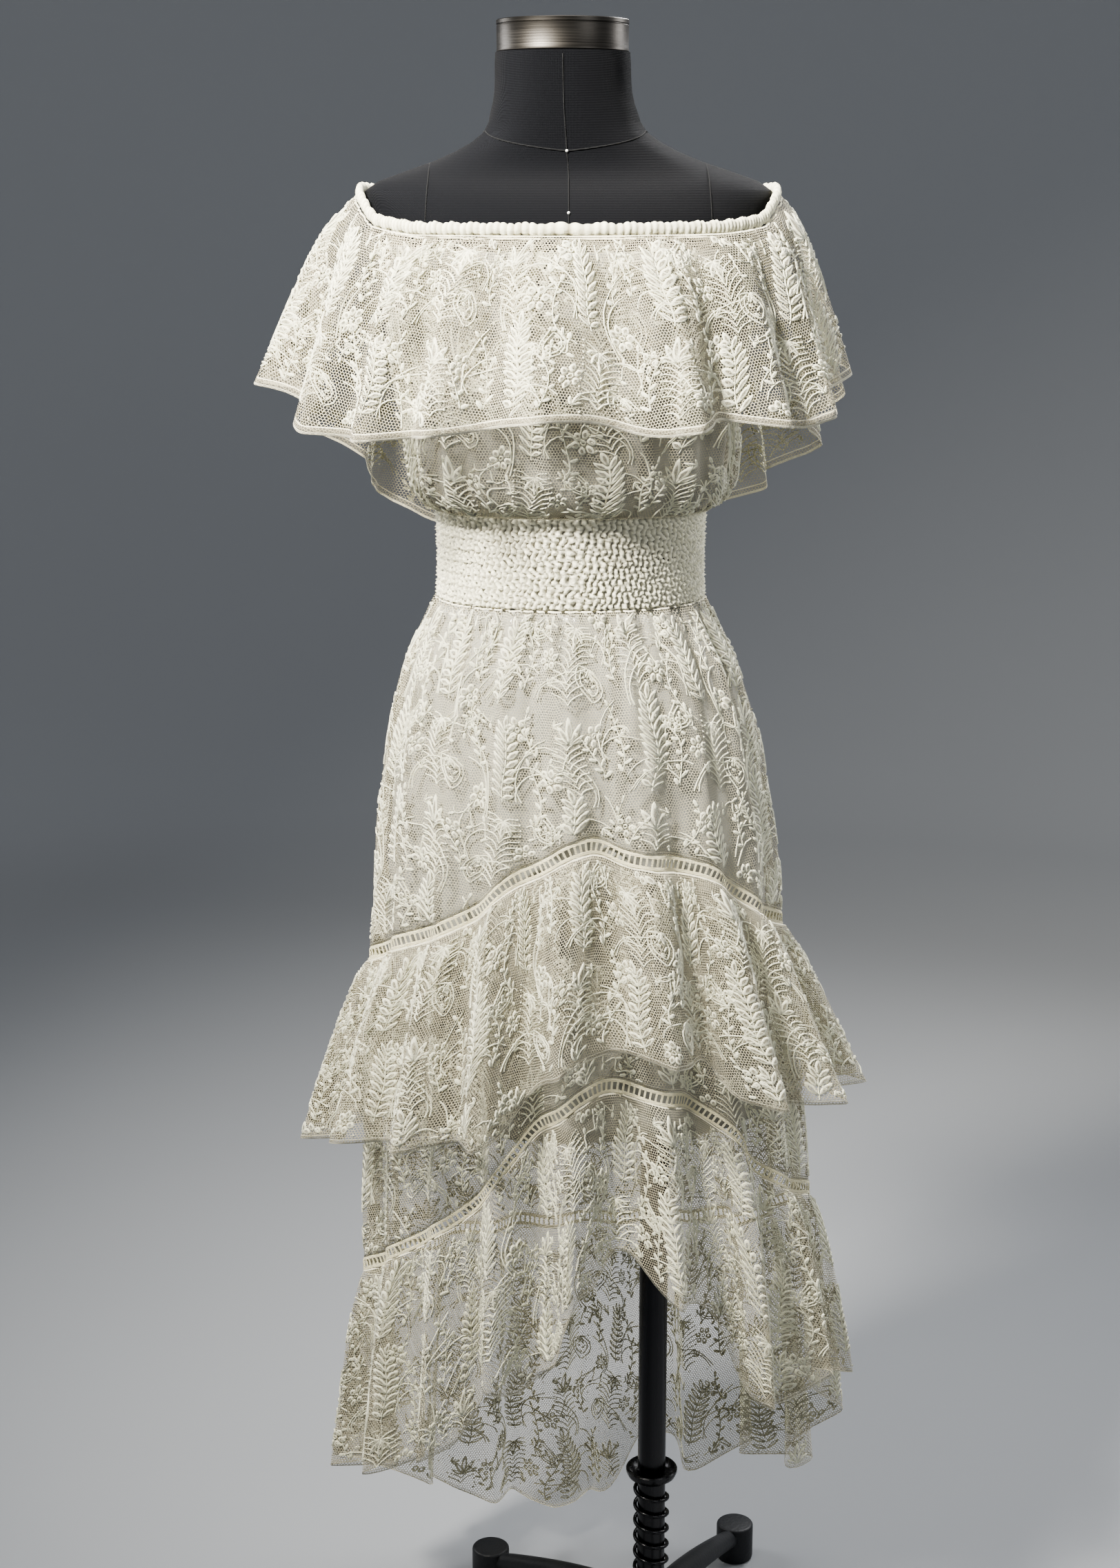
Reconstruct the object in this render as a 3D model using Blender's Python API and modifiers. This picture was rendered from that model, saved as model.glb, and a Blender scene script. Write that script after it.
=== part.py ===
"""Off-shoulder lace dress with three flounces, worn on a limbless dress form with a stand.

Metres, +Z up, the front faces -Y. Cloth is lofted from sections by height and from hem lines
by azimuth: 0 degrees is the front, 90 the wearer's left (+X), 180 the back.
"""
import math
from collections import namedtuple

import bmesh
import bpy
import numpy as np
from mathutils import Vector

# Place of the form's own axis, which puts the whole part's box over the origin
FORM_X = -0.0393
FORM_Y = -0.0006

# Sewing sizes
WALL = 0.0015
SEAM = 0.0004
LAYER = 0.0006
TRIM_HIGH = 0.013

# Gathers: waves round the dress and columns of points for each wave
WAVES = 18
COLUMNS_PER_WAVE = 4

Section = namedtuple("Section", "height centre_x half_width front back")
Line = namedtuple("Line", "azimuth height")
Frill = namedtuple("Frill", "azimuth height reach")
Swell = namedtuple("Swell", "height depth")

# Outer face of the skirt from the waistband down to the lowest seam
SKIRT = [
    Section(0.380, 0.0275, 0.2150, 0.192, 0.200),
    Section(0.430, 0.0270, 0.2145, 0.190, 0.198),
    Section(0.540, 0.0265, 0.2135, 0.188, 0.194),
    Section(0.600, 0.0255, 0.2110, 0.184, 0.190),
    Section(0.785, 0.0175, 0.1955, 0.168, 0.176),
    Section(0.825, 0.0165, 0.1925, 0.164, 0.172),
    Section(0.913, 0.0155, 0.1860, 0.155, 0.164),
    Section(0.960, 0.0140, 0.1795, 0.147, 0.158),
    Section(1.006, 0.0128, 0.1730, 0.138, 0.150),
    Section(1.045, 0.0117, 0.1634, 0.129, 0.140),
    Section(1.085, 0.0108, 0.1515, 0.118, 0.125),
    Section(1.110, 0.0105, 0.1390, 0.108, 0.112),
    Section(1.140, 0.0100, 0.1240, 0.098, 0.098),
]

# Depth of the skirt's gathers by height
SKIRT_SWELL = [
    Swell(0.380, 0.0120),
    Swell(0.600, 0.0110),
    Swell(0.800, 0.0090),
    Swell(0.950, 0.0060),
    Swell(1.080, 0.0030),
    Swell(1.140, 0.0010),
]

# Outer face of the bodice from the waistband up to the neck casing
BODICE = [
    Section(1.2225, 0.0110, 0.1250, 0.100, 0.100),
    Section(1.2290, 0.0112, 0.1350, 0.109, 0.108),
    Section(1.2400, 0.0112, 0.1430, 0.116, 0.113),
    Section(1.2700, 0.0100, 0.1490, 0.119, 0.115),
    Section(1.3200, 0.0090, 0.1540, 0.124, 0.114),
    Section(1.3700, 0.0080, 0.1600, 0.127, 0.112),
    Section(1.4300, 0.0075, 0.1740, 0.120, 0.108),
    Section(1.4700, 0.0075, 0.1850, 0.113, 0.102),
    Section(1.5200, 0.0075, 0.1865, 0.112, 0.100),
]

# The form under the cloth, from its underside up to the neck
FORM = [
    Section(0.8450, 0.0120, 0.1300, 0.092, 0.100),
    Section(0.8500, 0.0120, 0.1450, 0.102, 0.112),
    Section(0.8650, 0.0120, 0.1560, 0.110, 0.122),
    Section(0.9400, 0.0125, 0.1620, 0.117, 0.130),
    Section(1.0100, 0.0120, 0.1560, 0.113, 0.126),
    Section(1.0800, 0.0108, 0.1370, 0.101, 0.108),
    Section(1.1300, 0.0100, 0.1170, 0.0912, 0.0912),
    Section(1.1800, 0.0100, 0.1203, 0.0945, 0.0945),
    Section(1.2200, 0.0100, 0.1185, 0.0930, 0.0930),
    Section(1.3000, 0.0095, 0.1300, 0.105, 0.096),
    Section(1.3700, 0.0080, 0.1450, 0.114, 0.098),
    Section(1.4300, 0.0075, 0.1600, 0.106, 0.096),
    Section(1.4700, 0.0075, 0.1755, 0.098, 0.088),
    Section(1.4950, 0.0075, 0.1820, 0.084, 0.078),
    Section(1.5080, 0.0075, 0.1800, 0.072, 0.070),
    Section(1.5165, 0.0075, 0.1630, 0.062, 0.063),
    Section(1.5260, 0.0070, 0.1330, 0.056, 0.060),
    Section(1.5380, 0.0060, 0.1020, 0.054, 0.058),
    Section(1.5530, 0.0050, 0.0760, 0.054, 0.057),
    Section(1.5750, 0.0035, 0.0650, 0.054, 0.055),
    Section(1.6235, 0.0024, 0.0600, 0.054, 0.052),
]

# Height of the neck casing's middle
NECK_LINE = [
    Line(-180, 1.5000),
    Line(-130, 1.5040),
    Line(-90, 1.5070),
    Line(-74, 1.4960),
    Line(-62, 1.4800),
    Line(-40, 1.4730),
    Line(0, 1.4720),
    Line(40, 1.4740),
    Line(62, 1.4800),
    Line(74, 1.4960),
    Line(90, 1.5070),
    Line(130, 1.5040),
]

# Neck flounce: hem height and how far the hem stands off the casing
NECK_FRILL = [
    Frill(-180, 1.1880, 0.056),
    Frill(-155, 1.1900, 0.058),
    Frill(-138, 1.2350, 0.056),
    Frill(-122, 1.2760, 0.062),
    Frill(-106, 1.3220, 0.073),
    Frill(-90, 1.3450, 0.080),
    Frill(-76, 1.3320, 0.074),
    Frill(-58, 1.2980, 0.064),
    Frill(-35, 1.2940, 0.062),
    Frill(-15, 1.3020, 0.062),
    Frill(0, 1.3160, 0.060),
    Frill(10, 1.2990, 0.062),
    Frill(24, 1.3140, 0.060),
    Frill(38, 1.3060, 0.060),
    Frill(54, 1.3020, 0.060),
    Frill(72, 1.3310, 0.058),
    Frill(90, 1.3600, 0.055),
    Frill(106, 1.3080, 0.060),
    Frill(122, 1.2650, 0.060),
    Frill(140, 1.2250, 0.056),
    Frill(158, 1.2000, 0.058),
]

# Middle of the upper ladder trim, arched up at the front
UPPER_TRIM = [
    Line(-180, 0.762),
    Line(-130, 0.768),
    Line(-90, 0.783),
    Line(-67, 0.818),
    Line(-40, 0.850),
    Line(-25, 0.876),
    Line(-17, 0.904),
    Line(-9, 0.914),
    Line(-1, 0.935),
    Line(5, 0.938),
    Line(10, 0.926),
    Line(23, 0.919),
    Line(36, 0.909),
    Line(48, 0.885),
    Line(60, 0.859),
    Line(90, 0.822),
    Line(130, 0.778),
]

# Hem of the upper flounce and how far it stands off the skirt
UPPER_FRILL = [
    Frill(-180, 0.545, 0.046),
    Frill(-130, 0.560, 0.048),
    Frill(-90, 0.602, 0.045),
    Frill(-58, 0.646, 0.048),
    Frill(-35, 0.664, 0.050),
    Frill(-24, 0.671, 0.048),
    Frill(-16, 0.680, 0.046),
    Frill(-12, 0.708, 0.044),
    Frill(-7, 0.734, 0.043),
    Frill(-1, 0.756, 0.042),
    Frill(9, 0.758, 0.042),
    Frill(28, 0.744, 0.044),
    Frill(32, 0.708, 0.048),
    Frill(50, 0.686, 0.054),
    Frill(65, 0.682, 0.052),
    Frill(90, 0.668, 0.049),
    Frill(130, 0.582, 0.052),
]

# Middle of the lower ladder trim
LOWER_TRIM = [
    Line(-180, 0.420),
    Line(-130, 0.424),
    Line(-100, 0.436),
    Line(-80, 0.480),
    Line(-56, 0.528),
    Line(-34, 0.578),
    Line(-24, 0.611),
    Line(-11, 0.679),
    Line(-6, 0.688),
    Line(1, 0.716),
    Line(8, 0.715),
    Line(25, 0.700),
    Line(35, 0.674),
    Line(48, 0.620),
    Line(60, 0.590),
    Line(90, 0.547),
    Line(130, 0.450),
]

# Hem of the lower flounce, short at the front and long at the back
LOWER_FRILL = [
    Frill(-180, 0.050, 0.040),
    Frill(-157, 0.072, 0.036),
    Frill(-140, 0.108, 0.032),
    Frill(-125, 0.150, 0.028),
    Frill(-90, 0.248, 0.018),
    Frill(-76, 0.270, 0.018),
    Frill(-54, 0.307, 0.018),
    Frill(-36, 0.350, 0.018),
    Frill(-31, 0.360, 0.018),
    Frill(-27, 0.396, 0.018),
    Frill(-20, 0.440, 0.018),
    Frill(-15, 0.418, 0.018),
    Frill(-7, 0.448, 0.018),
    Frill(-5, 0.468, 0.018),
    Frill(-3, 0.534, 0.018),
    Frill(1, 0.530, 0.018),
    Frill(3, 0.556, 0.018),
    Frill(9, 0.560, 0.018),
    Frill(14, 0.528, 0.018),
    Frill(31, 0.490, 0.020),
    Frill(33, 0.462, 0.021),
    Frill(35, 0.410, 0.022),
    Frill(51, 0.376, 0.026),
    Frill(56, 0.386, 0.028),
    Frill(60, 0.410, 0.030),
    Frill(90, 0.346, 0.030),
    Frill(118, 0.162, 0.036),
    Frill(132, 0.172, 0.036),
    Frill(150, 0.120, 0.038),
    Frill(160, 0.126, 0.040),
    Frill(167, 0.152, 0.040),
    Frill(174, 0.078, 0.040),
]

# Shirred waistband
BAND_TOP = 1.2220
BAND_BOTTOM = 1.1404
BAND_THICK = 0.0036
BAND_ROWS = 12
BAND_PUFFS = 28
PUFF_HIGH = 0.0016

# Linings: clearance inside the lace and the level slip hem
LINING_CLEAR = 0.0006
SLIP_HEM = 0.660
UNDERARM = 1.388

# Neck casing section
CASING_HIGH = 0.0065
CASING_THICK = 0.0036
RUCHE = 0.10

# Neck cap
CAP_BOTTOM = 1.6238
CAP_HIGH = 0.0275
CAP_RADIUS = 0.0592
CAP_ROLL = 0.0030

# Stand: pole, dished collar, spring and five-legged cast base
POLE_X = 0.0940
POLE_RADIUS = 0.0142
POLE_FOOT = 0.1000
COLLAR_HEIGHT = 0.2240
COLLAR_RADIUS = 0.0262
COLLAR_THICK = 0.0120
SPRING_RADIUS = 0.01735
SPRING_WIRE = 0.0014
SPRING_TURNS = 9
SPRING_LOW = 0.1120
SPRING_HIGH = 0.2205
HUB_RADIUS = 0.0300
HUB_HIGH = 0.1080
HUB_LOW = 0.0300
LEGS = 5
FIRST_LEG = 64.0
LEG_REACH = 0.2380
LEG_RADIUS = 0.0150
FOOT_RADIUS = 0.0205
FOOT_HIGH = 0.0420

COLLECTION = "off_shoulder_dress_on_form"


def clear_scene():
    for obj in list(bpy.data.objects):
        bpy.data.objects.remove(obj, do_unlink=True)
    collection = bpy.data.collections.new(COLLECTION)
    bpy.context.scene.collection.children.link(collection)
    return collection


def material(name, colour, roughness, metallic=0.0):
    made = bpy.data.materials.new(name)
    made.use_nodes = True
    shader = made.node_tree.nodes["Principled BSDF"]
    shader.inputs["Base Color"].default_value = (*colour, 1.0)
    shader.inputs["Roughness"].default_value = roughness
    shader.inputs["Metallic"].default_value = metallic
    return made


def add_object(name, mesh, finish, smooth_angle=40.0):
    obj = bpy.data.objects.new(name, mesh)
    bpy.data.collections[COLLECTION].objects.link(obj)
    mesh.materials.clear()
    mesh.materials.append(finish)
    mesh.shade_smooth()
    mesh.set_sharp_from_angle(angle=math.radians(smooth_angle))
    return obj


def along(table, field, at):
    """The value of a table's field at a height, on a cubic through its rows."""
    knots = np.array([row.height for row in table])
    values = np.array([getattr(row, field) for row in table])
    slopes = np.gradient(values, knots)
    spot = np.clip(at, knots[0], knots[-1])
    left = np.clip(np.searchsorted(knots, spot) - 1, 0, len(knots) - 2)
    span = knots[left + 1] - knots[left]
    part = (spot - knots[left]) / span
    rise = values[left + 1] - values[left]
    pull = slopes[left] * span - rise
    push = rise - slopes[left + 1] * span
    bend = part * (1 - part) * (pull * (1 - part) + push * part)
    return values[left] + rise * part + bend


def around(table, field, azimuth):
    """The value of a table's field at an azimuth, straight between its rows."""
    angles = [row.azimuth for row in table]
    values = [getattr(row, field) for row in table]
    return np.interp(np.degrees(azimuth), angles, values, period=360)


def section_point(table, azimuth, height, out=0.0, square=2.2):
    """A point on a section of the table, moved out along its own radius."""
    side = np.sign(np.sin(azimuth)) * np.abs(np.sin(azimuth)) ** (2 / square)
    ahead = np.sign(np.cos(azimuth)) * np.abs(np.cos(azimuth)) ** (2 / square)
    depth = np.where(ahead > 0, along(table, "front", height), along(table, "back", height))
    x = along(table, "half_width", height) * side
    y = -depth * ahead
    length = np.hypot(x, y)
    x = x + x / length * out + along(table, "centre_x", height)
    y = y + y / length * out
    return np.stack([x + FORM_X, y + FORM_Y, height + 0.0 * x], axis=-1)


def gather_phase(azimuth, unevenness=1.0):
    """Phase of the gathers, uneven round the dress but the same at 0 and 360 degrees."""
    drift = 0.75 * np.sin(2 * azimuth + 0.7) + 0.42 * np.sin(5 * azimuth + 2.1)
    return WAVES * azimuth + unevenness * drift


def gather_columns(per_wave=COLUMNS_PER_WAVE):
    """Azimuths at equal steps of phase, so that each gather has as many columns."""
    fine = np.linspace(0, 2 * math.pi, 4001)
    phase = gather_phase(fine)
    steps = phase[0] + np.arange(WAVES * per_wave) * 2 * math.pi / per_wave
    return np.interp(steps, phase, fine)


def gathers(azimuth, turn=0.0):
    """Height of the gathers from -1 to 1, with some deeper than others."""
    depth = 0.80 + 0.20 * np.sin(3 * azimuth + 1.1)
    drift = turn * np.sin(4 * azimuth + 0.4)
    return depth * np.cos(gather_phase(azimuth) + drift)


def skirt_out(azimuth, height):
    return along(SKIRT_SWELL, "depth", height) * gathers(azimuth)


def skirt_strip(top, bottom, crowd=1.0):
    """A surface on the skirt's outer face between two heights given by azimuth."""
    def surface(azimuth, part):
        height = top(azimuth) + (bottom(azimuth) - top(azimuth)) * part ** crowd
        return section_point(SKIRT, azimuth, height, skirt_out(azimuth, height))
    return surface


def upper_trim(azimuth):
    return around(UPPER_TRIM, "height", azimuth)


def lower_trim(azimuth):
    return around(LOWER_TRIM, "height", azimuth)


def neck_line(azimuth):
    return around(NECK_LINE, "height", azimuth)


def trim_gap(line, azimuth):
    """Seam gap above and below a trim, wider in height where the trim runs steeply."""
    reach = 0.035
    rise = (line(azimuth + reach) - line(azimuth - reach)) / (2 * reach * 0.19)
    return SEAM * (1 + rise * rise)


def under_trim(line):
    return lambda azimuth: line(azimuth) - TRIM_HIGH / 2 - trim_gap(line, azimuth)


def over_trim(line):
    return lambda azimuth: line(azimuth) + TRIM_HIGH / 2 + trim_gap(line, azimuth)


def skirt_top(azimuth):
    return BAND_BOTTOM - SEAM + 0.0 * azimuth


def upper_flounce(azimuth, part):
    """Hangs from the upper trim, outside the lower skirt."""
    top = under_trim(upper_trim)(azimuth)
    height = top + (around(UPPER_FRILL, "height", azimuth) - top) * part
    reach = around(UPPER_FRILL, "reach", azimuth) * (0.12 * (1 - (1 - part) ** 6) + 0.88 * part)
    out = skirt_out(azimuth, height) + LAYER + reach * (1 + 0.34 * gathers(azimuth, 0.9))
    return section_point(SKIRT, azimuth, height, out)


def lower_flounce(azimuth, part):
    """Hangs from the lower trim, with nothing under it."""
    top = under_trim(lower_trim)(azimuth)
    height = top + (around(LOWER_FRILL, "height", azimuth) - top) * part
    reach = around(LOWER_FRILL, "reach", azimuth) * part ** 0.7
    swell = 0.014 * part * gathers(azimuth, 0.8)
    return section_point(SKIRT, azimuth, height, skirt_out(azimuth, height) + reach + swell)


def bodice_out(azimuth, height):
    """Small gathers in the blouse, none at the casing or at the waistband."""
    rise = (height - BAND_TOP) / (1.47 - BAND_TOP)
    return 0.0045 * np.sin(np.clip(rise, 0, 1) * math.pi) * gathers(azimuth)


def bodice_top(azimuth):
    """Under the casing, and cut away round each arm."""
    side = np.abs(np.abs(np.degrees(azimuth + math.pi) % 360 - 180) - 90)
    cut = np.clip((34.0 - side) / 26.0, 0, 1)
    high = neck_line(azimuth) - CASING_HIGH - SEAM
    return high + (UNDERARM - high) * (cut * cut * (3 - 2 * cut))


def bodice(azimuth, part):
    bottom = BAND_TOP + SEAM
    height = bottom + (bodice_top(azimuth) - bottom) * (1 - part) ** 1.35
    return section_point(BODICE, azimuth, height, bodice_out(azimuth, height), 2.6)


def bodice_lining(azimuth, part):
    bottom = BAND_TOP + SEAM
    top = bodice_top(azimuth) - 0.012
    height = bottom + (top - bottom) * (1 - part)
    out = -np.interp(height, [1.2225, 1.25, 1.44, 1.50], [0.0025, 0.0065, 0.0065, 0.0035])
    return section_point(BODICE, azimuth, height, out, 2.6)


def neck_flounce(azimuth, part):
    """Hangs from the casing, outside the bodice and the arms."""
    line = neck_line(azimuth)
    top = line - CASING_HIGH - SEAM
    height = top + (around(NECK_FRILL, "height", azimuth) - top) * part
    reach = around(NECK_FRILL, "reach", azimuth) * (0.22 * (1 - (1 - part) ** 8) + 0.78 * part)
    out = 2 * LAYER + reach * (1 + 0.26 * gathers(azimuth, 0.7))
    ring = section_point(BODICE, azimuth, line, out, 2.6)
    ring[..., 2] = height
    return ring


def skirt_lining(azimuth, part):
    top = BAND_BOTTOM - SEAM
    height = top + (SLIP_HEM - top) * part ** 1.7
    out = -(along(SKIRT_SWELL, "depth", height) + WALL + LINING_CLEAR)
    return section_point(SKIRT, azimuth, height, out)


def grid_mesh(name, points, closed_round=True):
    """A quad mesh on a grid of points, rows down and columns round."""
    rows, columns = points.shape[:2]
    faces = []
    for row in range(rows - 1):
        for column in range(columns if closed_round else columns - 1):
            after = (column + 1) % columns
            low = row + 1
            faces.append((row * columns + column, low * columns + column,
                          low * columns + after, row * columns + after))
    mesh = bpy.data.meshes.new(name)
    mesh.from_pydata(points.reshape(-1, 3).tolist(), [], faces)
    return mesh


def solid_mesh(obj, name):
    """The mesh of an object with its modifiers, as plain mesh data."""
    bpy.context.view_layer.update()
    evaluated = obj.evaluated_get(bpy.context.evaluated_depsgraph_get())
    mesh = bpy.data.meshes.new_from_object(evaluated)
    mesh.name = name
    return mesh


def cloth_tube(name, surface, columns, rows, finish, inner=False, wall=WALL):
    """An open tube of cloth with a wall, outside or inside its surface."""
    parts = np.linspace(0, 1, rows + 1)
    points = np.stack([surface(columns, part) for part in parts])
    obj = add_object(name, grid_mesh(name, points), finish)
    thick = obj.modifiers.new("wall", "SOLIDIFY")
    thick.thickness = wall
    thick.offset = 1.0 if inner else -1.0
    return obj


def half_mesh(mesh, name, keep_front):
    """One side of a tube, cut on the side seams and closed there."""
    sign = 1.0 if keep_front else -1.0
    bm = bmesh.new()
    bm.from_mesh(mesh)
    everything = bm.verts[:] + bm.edges[:] + bm.faces[:]
    bmesh.ops.bisect_plane(bm, geom=everything, dist=1e-6,
                           plane_co=(0, FORM_Y - sign * SEAM / 2, 0),
                           plane_no=(0, sign, 0), clear_outer=True)
    rim = [edge for edge in bm.edges if edge.is_boundary]
    bmesh.ops.holes_fill(bm, edges=rim, sides=0)
    bmesh.ops.recalc_face_normals(bm, faces=bm.faces[:])
    made = bpy.data.meshes.new(name)
    bm.to_mesh(made)
    bm.free()
    return made


def front_and_back(name, surface, columns, rows, finish, inner=False):
    """A tube of cloth sewn from a front and a back panel."""
    tube = cloth_tube(name, surface, columns, rows, finish, inner)
    whole = solid_mesh(tube, name)
    add_object(name + "_front", half_mesh(whole, name + "_front", True), finish)
    add_object(name + "_back", half_mesh(whole, name + "_back", False), finish)
    bpy.data.objects.remove(tube, do_unlink=True)


def closed_wall(name, outer, inner, finish):
    """A tube whose outer and inner faces differ, such as shirring over a plain inside."""
    rows, columns = outer.shape[:2]
    points = np.concatenate([outer.reshape(-1, 3), inner.reshape(-1, 3)])
    shift = rows * columns
    last = (rows - 1) * columns
    base = shift + (inner.shape[0] - 1) * columns
    faces = []
    for column in range(columns):
        after = (column + 1) % columns
        for row in range(rows - 1):
            here = row * columns
            below = here + columns
            faces.append((here + column, below + column, below + after, here + after))
        faces.append((shift + after, base + after, base + column, shift + column))
        faces.append((column, after, shift + after, shift + column))
        faces.append((last + after, last + column, base + column, base + after))
    mesh = bpy.data.meshes.new(name)
    mesh.from_pydata(points.tolist(), [], faces)
    add_object(name, mesh, finish, 60.0)


def waistband(finish):
    """Rows of small puffs between shirring threads, over a plain inside."""
    columns = np.arange(2 * BAND_PUFFS) * math.pi / BAND_PUFFS
    levels = 2 * BAND_ROWS + 1
    outer = []
    for level in range(levels):
        height = BAND_TOP + (BAND_BOTTOM - BAND_TOP) * level / (levels - 1)
        puffed = level % 2
        side = np.cos(np.arange(2 * BAND_PUFFS) * math.pi + (level // 2) * math.pi)
        lift = PUFF_HIGH * puffed * (0.65 + 0.35 * side)
        waist = 0.0012 * math.cos(2 * math.pi * (height - 1.18) / 0.16)
        outer.append(band_ring(columns, height, lift - waist))
    inner = [band_ring(columns, height, -BAND_THICK + PUFF_HIGH)
             for height in (BAND_TOP, BAND_BOTTOM)]
    closed_wall("waistband_shirred", np.stack(outer), np.stack(inner), finish)


def band_ring(columns, height, out):
    ring = section_point(SKIRT, columns, BAND_BOTTOM + 0.0 * columns, out)
    ring[..., 2] = height
    return ring


def neck_casing(columns, finish):
    """A ruched tube of elastic round the shoulders."""
    sides = 6
    line = neck_line(columns)
    rings = []
    for side in range(sides):
        angle = 2 * math.pi * (side + 0.5) / sides
        ruche = 1 + RUCHE * np.cos(np.arange(len(columns)) * math.pi)
        out = CASING_THICK * math.cos(angle) * ruche
        ring = section_point(BODICE, columns, line, out, 2.6)
        ring[..., 2] = line - CASING_HIGH * math.sin(angle)
        rings.append(ring)
    rings.append(rings[0])
    points = np.stack(rings)
    mesh = grid_mesh("neck_casing", points)
    obj = add_object("neck_casing", mesh, finish)
    weld = obj.modifiers.new("weld", "WELD")
    weld.merge_threshold = 0.00001


def loft(name, table, columns, finish, square=2.2):
    """A closed solid through a table of sections, top row first."""
    azimuth = np.arange(columns) * 2 * math.pi / columns
    heights = [row.height for row in reversed(table)]
    points = np.stack([section_point(table, azimuth, height + 0.0 * azimuth, 0.0, square)
                       for height in heights])
    mesh = grid_mesh(name, points)
    bm = bmesh.new()
    bm.from_mesh(mesh)
    bmesh.ops.holes_fill(bm, edges=[edge for edge in bm.edges if edge.is_boundary], sides=0)
    bmesh.ops.recalc_face_normals(bm, faces=bm.faces[:])
    bm.to_mesh(mesh)
    bm.free()
    return add_object(name, mesh, finish)


def turned(name, profile, place, finish, steps=24, squash=1.0):
    """A round solid from a profile that runs down its outer side, radius and height."""
    mesh = bpy.data.meshes.new(name)
    points = [(radius, 0.0, height) for radius, height in profile]
    edges = [(index, index + 1) for index in range(len(points) - 1)]
    mesh.from_pydata(points, edges, [])
    obj = add_object(name, mesh, finish)
    screw = obj.modifiers.new("turn", "SCREW")
    screw.steps = steps
    screw.render_steps = steps
    screw.use_merge_vertices = True
    screw.merge_threshold = 0.00001
    obj.location = place
    obj.scale = (1.0, squash, 1.0)
    return obj


def neck_cap(finish):
    """A low metal cap with a rolled rim above and below."""
    roll = CAP_ROLL
    profile = [(0.0, CAP_HIGH - 0.002), (CAP_RADIUS - 3 * roll, CAP_HIGH - 0.001)]
    for centre in (CAP_HIGH - roll, roll):
        for step in range(4):
            angle = math.radians(90 - 60 * step)
            profile.append((CAP_RADIUS - roll + roll * math.cos(angle),
                            centre + roll * math.sin(angle)))
    profile.append((0.0, 0.0))
    place = (FORM_X + along(FORM, "centre_x", CAP_BOTTOM), FORM_Y, CAP_BOTTOM)
    turned("neck_cap", profile, place, finish, 24, 0.90)


def pole(finish):
    top = FORM[0].height - 0.0003
    bpy.ops.mesh.primitive_cylinder_add(vertices=24, radius=POLE_RADIUS, depth=top - POLE_FOOT)
    obj = bpy.context.object
    obj.name = "pole"
    obj.location = (FORM_X + POLE_X, FORM_Y, (top + POLE_FOOT) / 2)
    obj.data.materials.append(finish)
    for holder in list(obj.users_collection):
        holder.objects.unlink(obj)
    bpy.data.collections[COLLECTION].objects.link(obj)


def collar(finish):
    """A dished disc on the pole, above the spring."""
    bore = POLE_RADIUS + 0.0003
    profile = [
        (bore, 0.0060),
        (COLLAR_RADIUS - 0.0070, 0.0060),
        (COLLAR_RADIUS - 0.0030, COLLAR_THICK),
        (COLLAR_RADIUS, COLLAR_THICK - 0.0010),
        (COLLAR_RADIUS, COLLAR_THICK - 0.0050),
        (COLLAR_RADIUS - 0.0060, 0.0),
        (bore, 0.0),
        (bore, 0.0060),
    ]
    turned("pole_collar", profile, (FORM_X + POLE_X, FORM_Y, COLLAR_HEIGHT), finish)


def spring(finish):
    """A coil round the foot of the pole."""
    per_turn = 8
    count = SPRING_TURNS * per_turn + 1
    data = bpy.data.curves.new("pole_spring", "CURVE")
    data.dimensions = "3D"
    data.bevel_depth = SPRING_WIRE
    data.bevel_resolution = 0
    data.use_fill_caps = True
    line = data.splines.new("POLY")
    line.points.add(count - 1)
    for index in range(count):
        angle = 2 * math.pi * index / per_turn
        height = SPRING_LOW + (SPRING_HIGH - SPRING_LOW) * index / (count - 1)
        line.points[index].co = (SPRING_RADIUS * math.cos(angle),
                                 SPRING_RADIUS * math.sin(angle), height, 1.0)
    obj = bpy.data.objects.new("pole_spring", data)
    obj.location = (FORM_X + POLE_X, FORM_Y, 0.0)
    data.materials.append(finish)
    bpy.data.collections[COLLECTION].objects.link(obj)


def base_hub(finish):
    """The cast hub that the pole and the spring stand in."""
    bore = POLE_RADIUS + 0.0003
    profile = [
        (bore, HUB_HIGH),
        (HUB_RADIUS - 0.0080, HUB_HIGH),
        (HUB_RADIUS - 0.0050, HUB_HIGH - 0.0030),
        (HUB_RADIUS, HUB_HIGH - 0.0350),
        (HUB_RADIUS, HUB_LOW + 0.0030),
        (HUB_RADIUS - 0.0030, HUB_LOW),
        (0.0, HUB_LOW),
    ]
    seat = POLE_FOOT - 0.0003
    profile = [(0.0, seat), (bore, seat)] + profile
    turned("base_hub", profile, (FORM_X + POLE_X, FORM_Y, 0.0), finish)


def leg_mesh():
    """One cast leg: an arched bar that thins outwards, joined to a round foot."""
    data = bpy.data.curves.new("leg_bar", "CURVE")
    data.dimensions = "3D"
    data.bevel_depth = LEG_RADIUS
    data.bevel_resolution = 1
    data.use_fill_caps = True
    line = data.splines.new("POLY")
    stops = 6
    line.points.add(stops - 1)
    start = HUB_RADIUS + 0.0003
    for index in range(stops):
        part = index / (stops - 1)
        reach = start + (LEG_REACH - start) * part
        height = 0.070 - 0.046 * max(0.0, (part - 0.2) / 0.8) ** 1.3
        line.points[index].co = (reach, 0.0, height, 1.0)
        line.points[index].radius = 1.0 - 0.35 * part
    bar = bpy.data.objects.new("leg_bar", data)
    bpy.data.collections[COLLECTION].objects.link(bar)
    mesh = solid_mesh(bar, "leg")
    bpy.data.objects.remove(bar, do_unlink=True)
    bm = bmesh.new()
    bm.from_mesh(mesh)
    bmesh.ops.remove_doubles(bm, verts=bm.verts[:], dist=0.00001)
    bm.to_mesh(mesh)
    bm.free()
    return mesh


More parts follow.
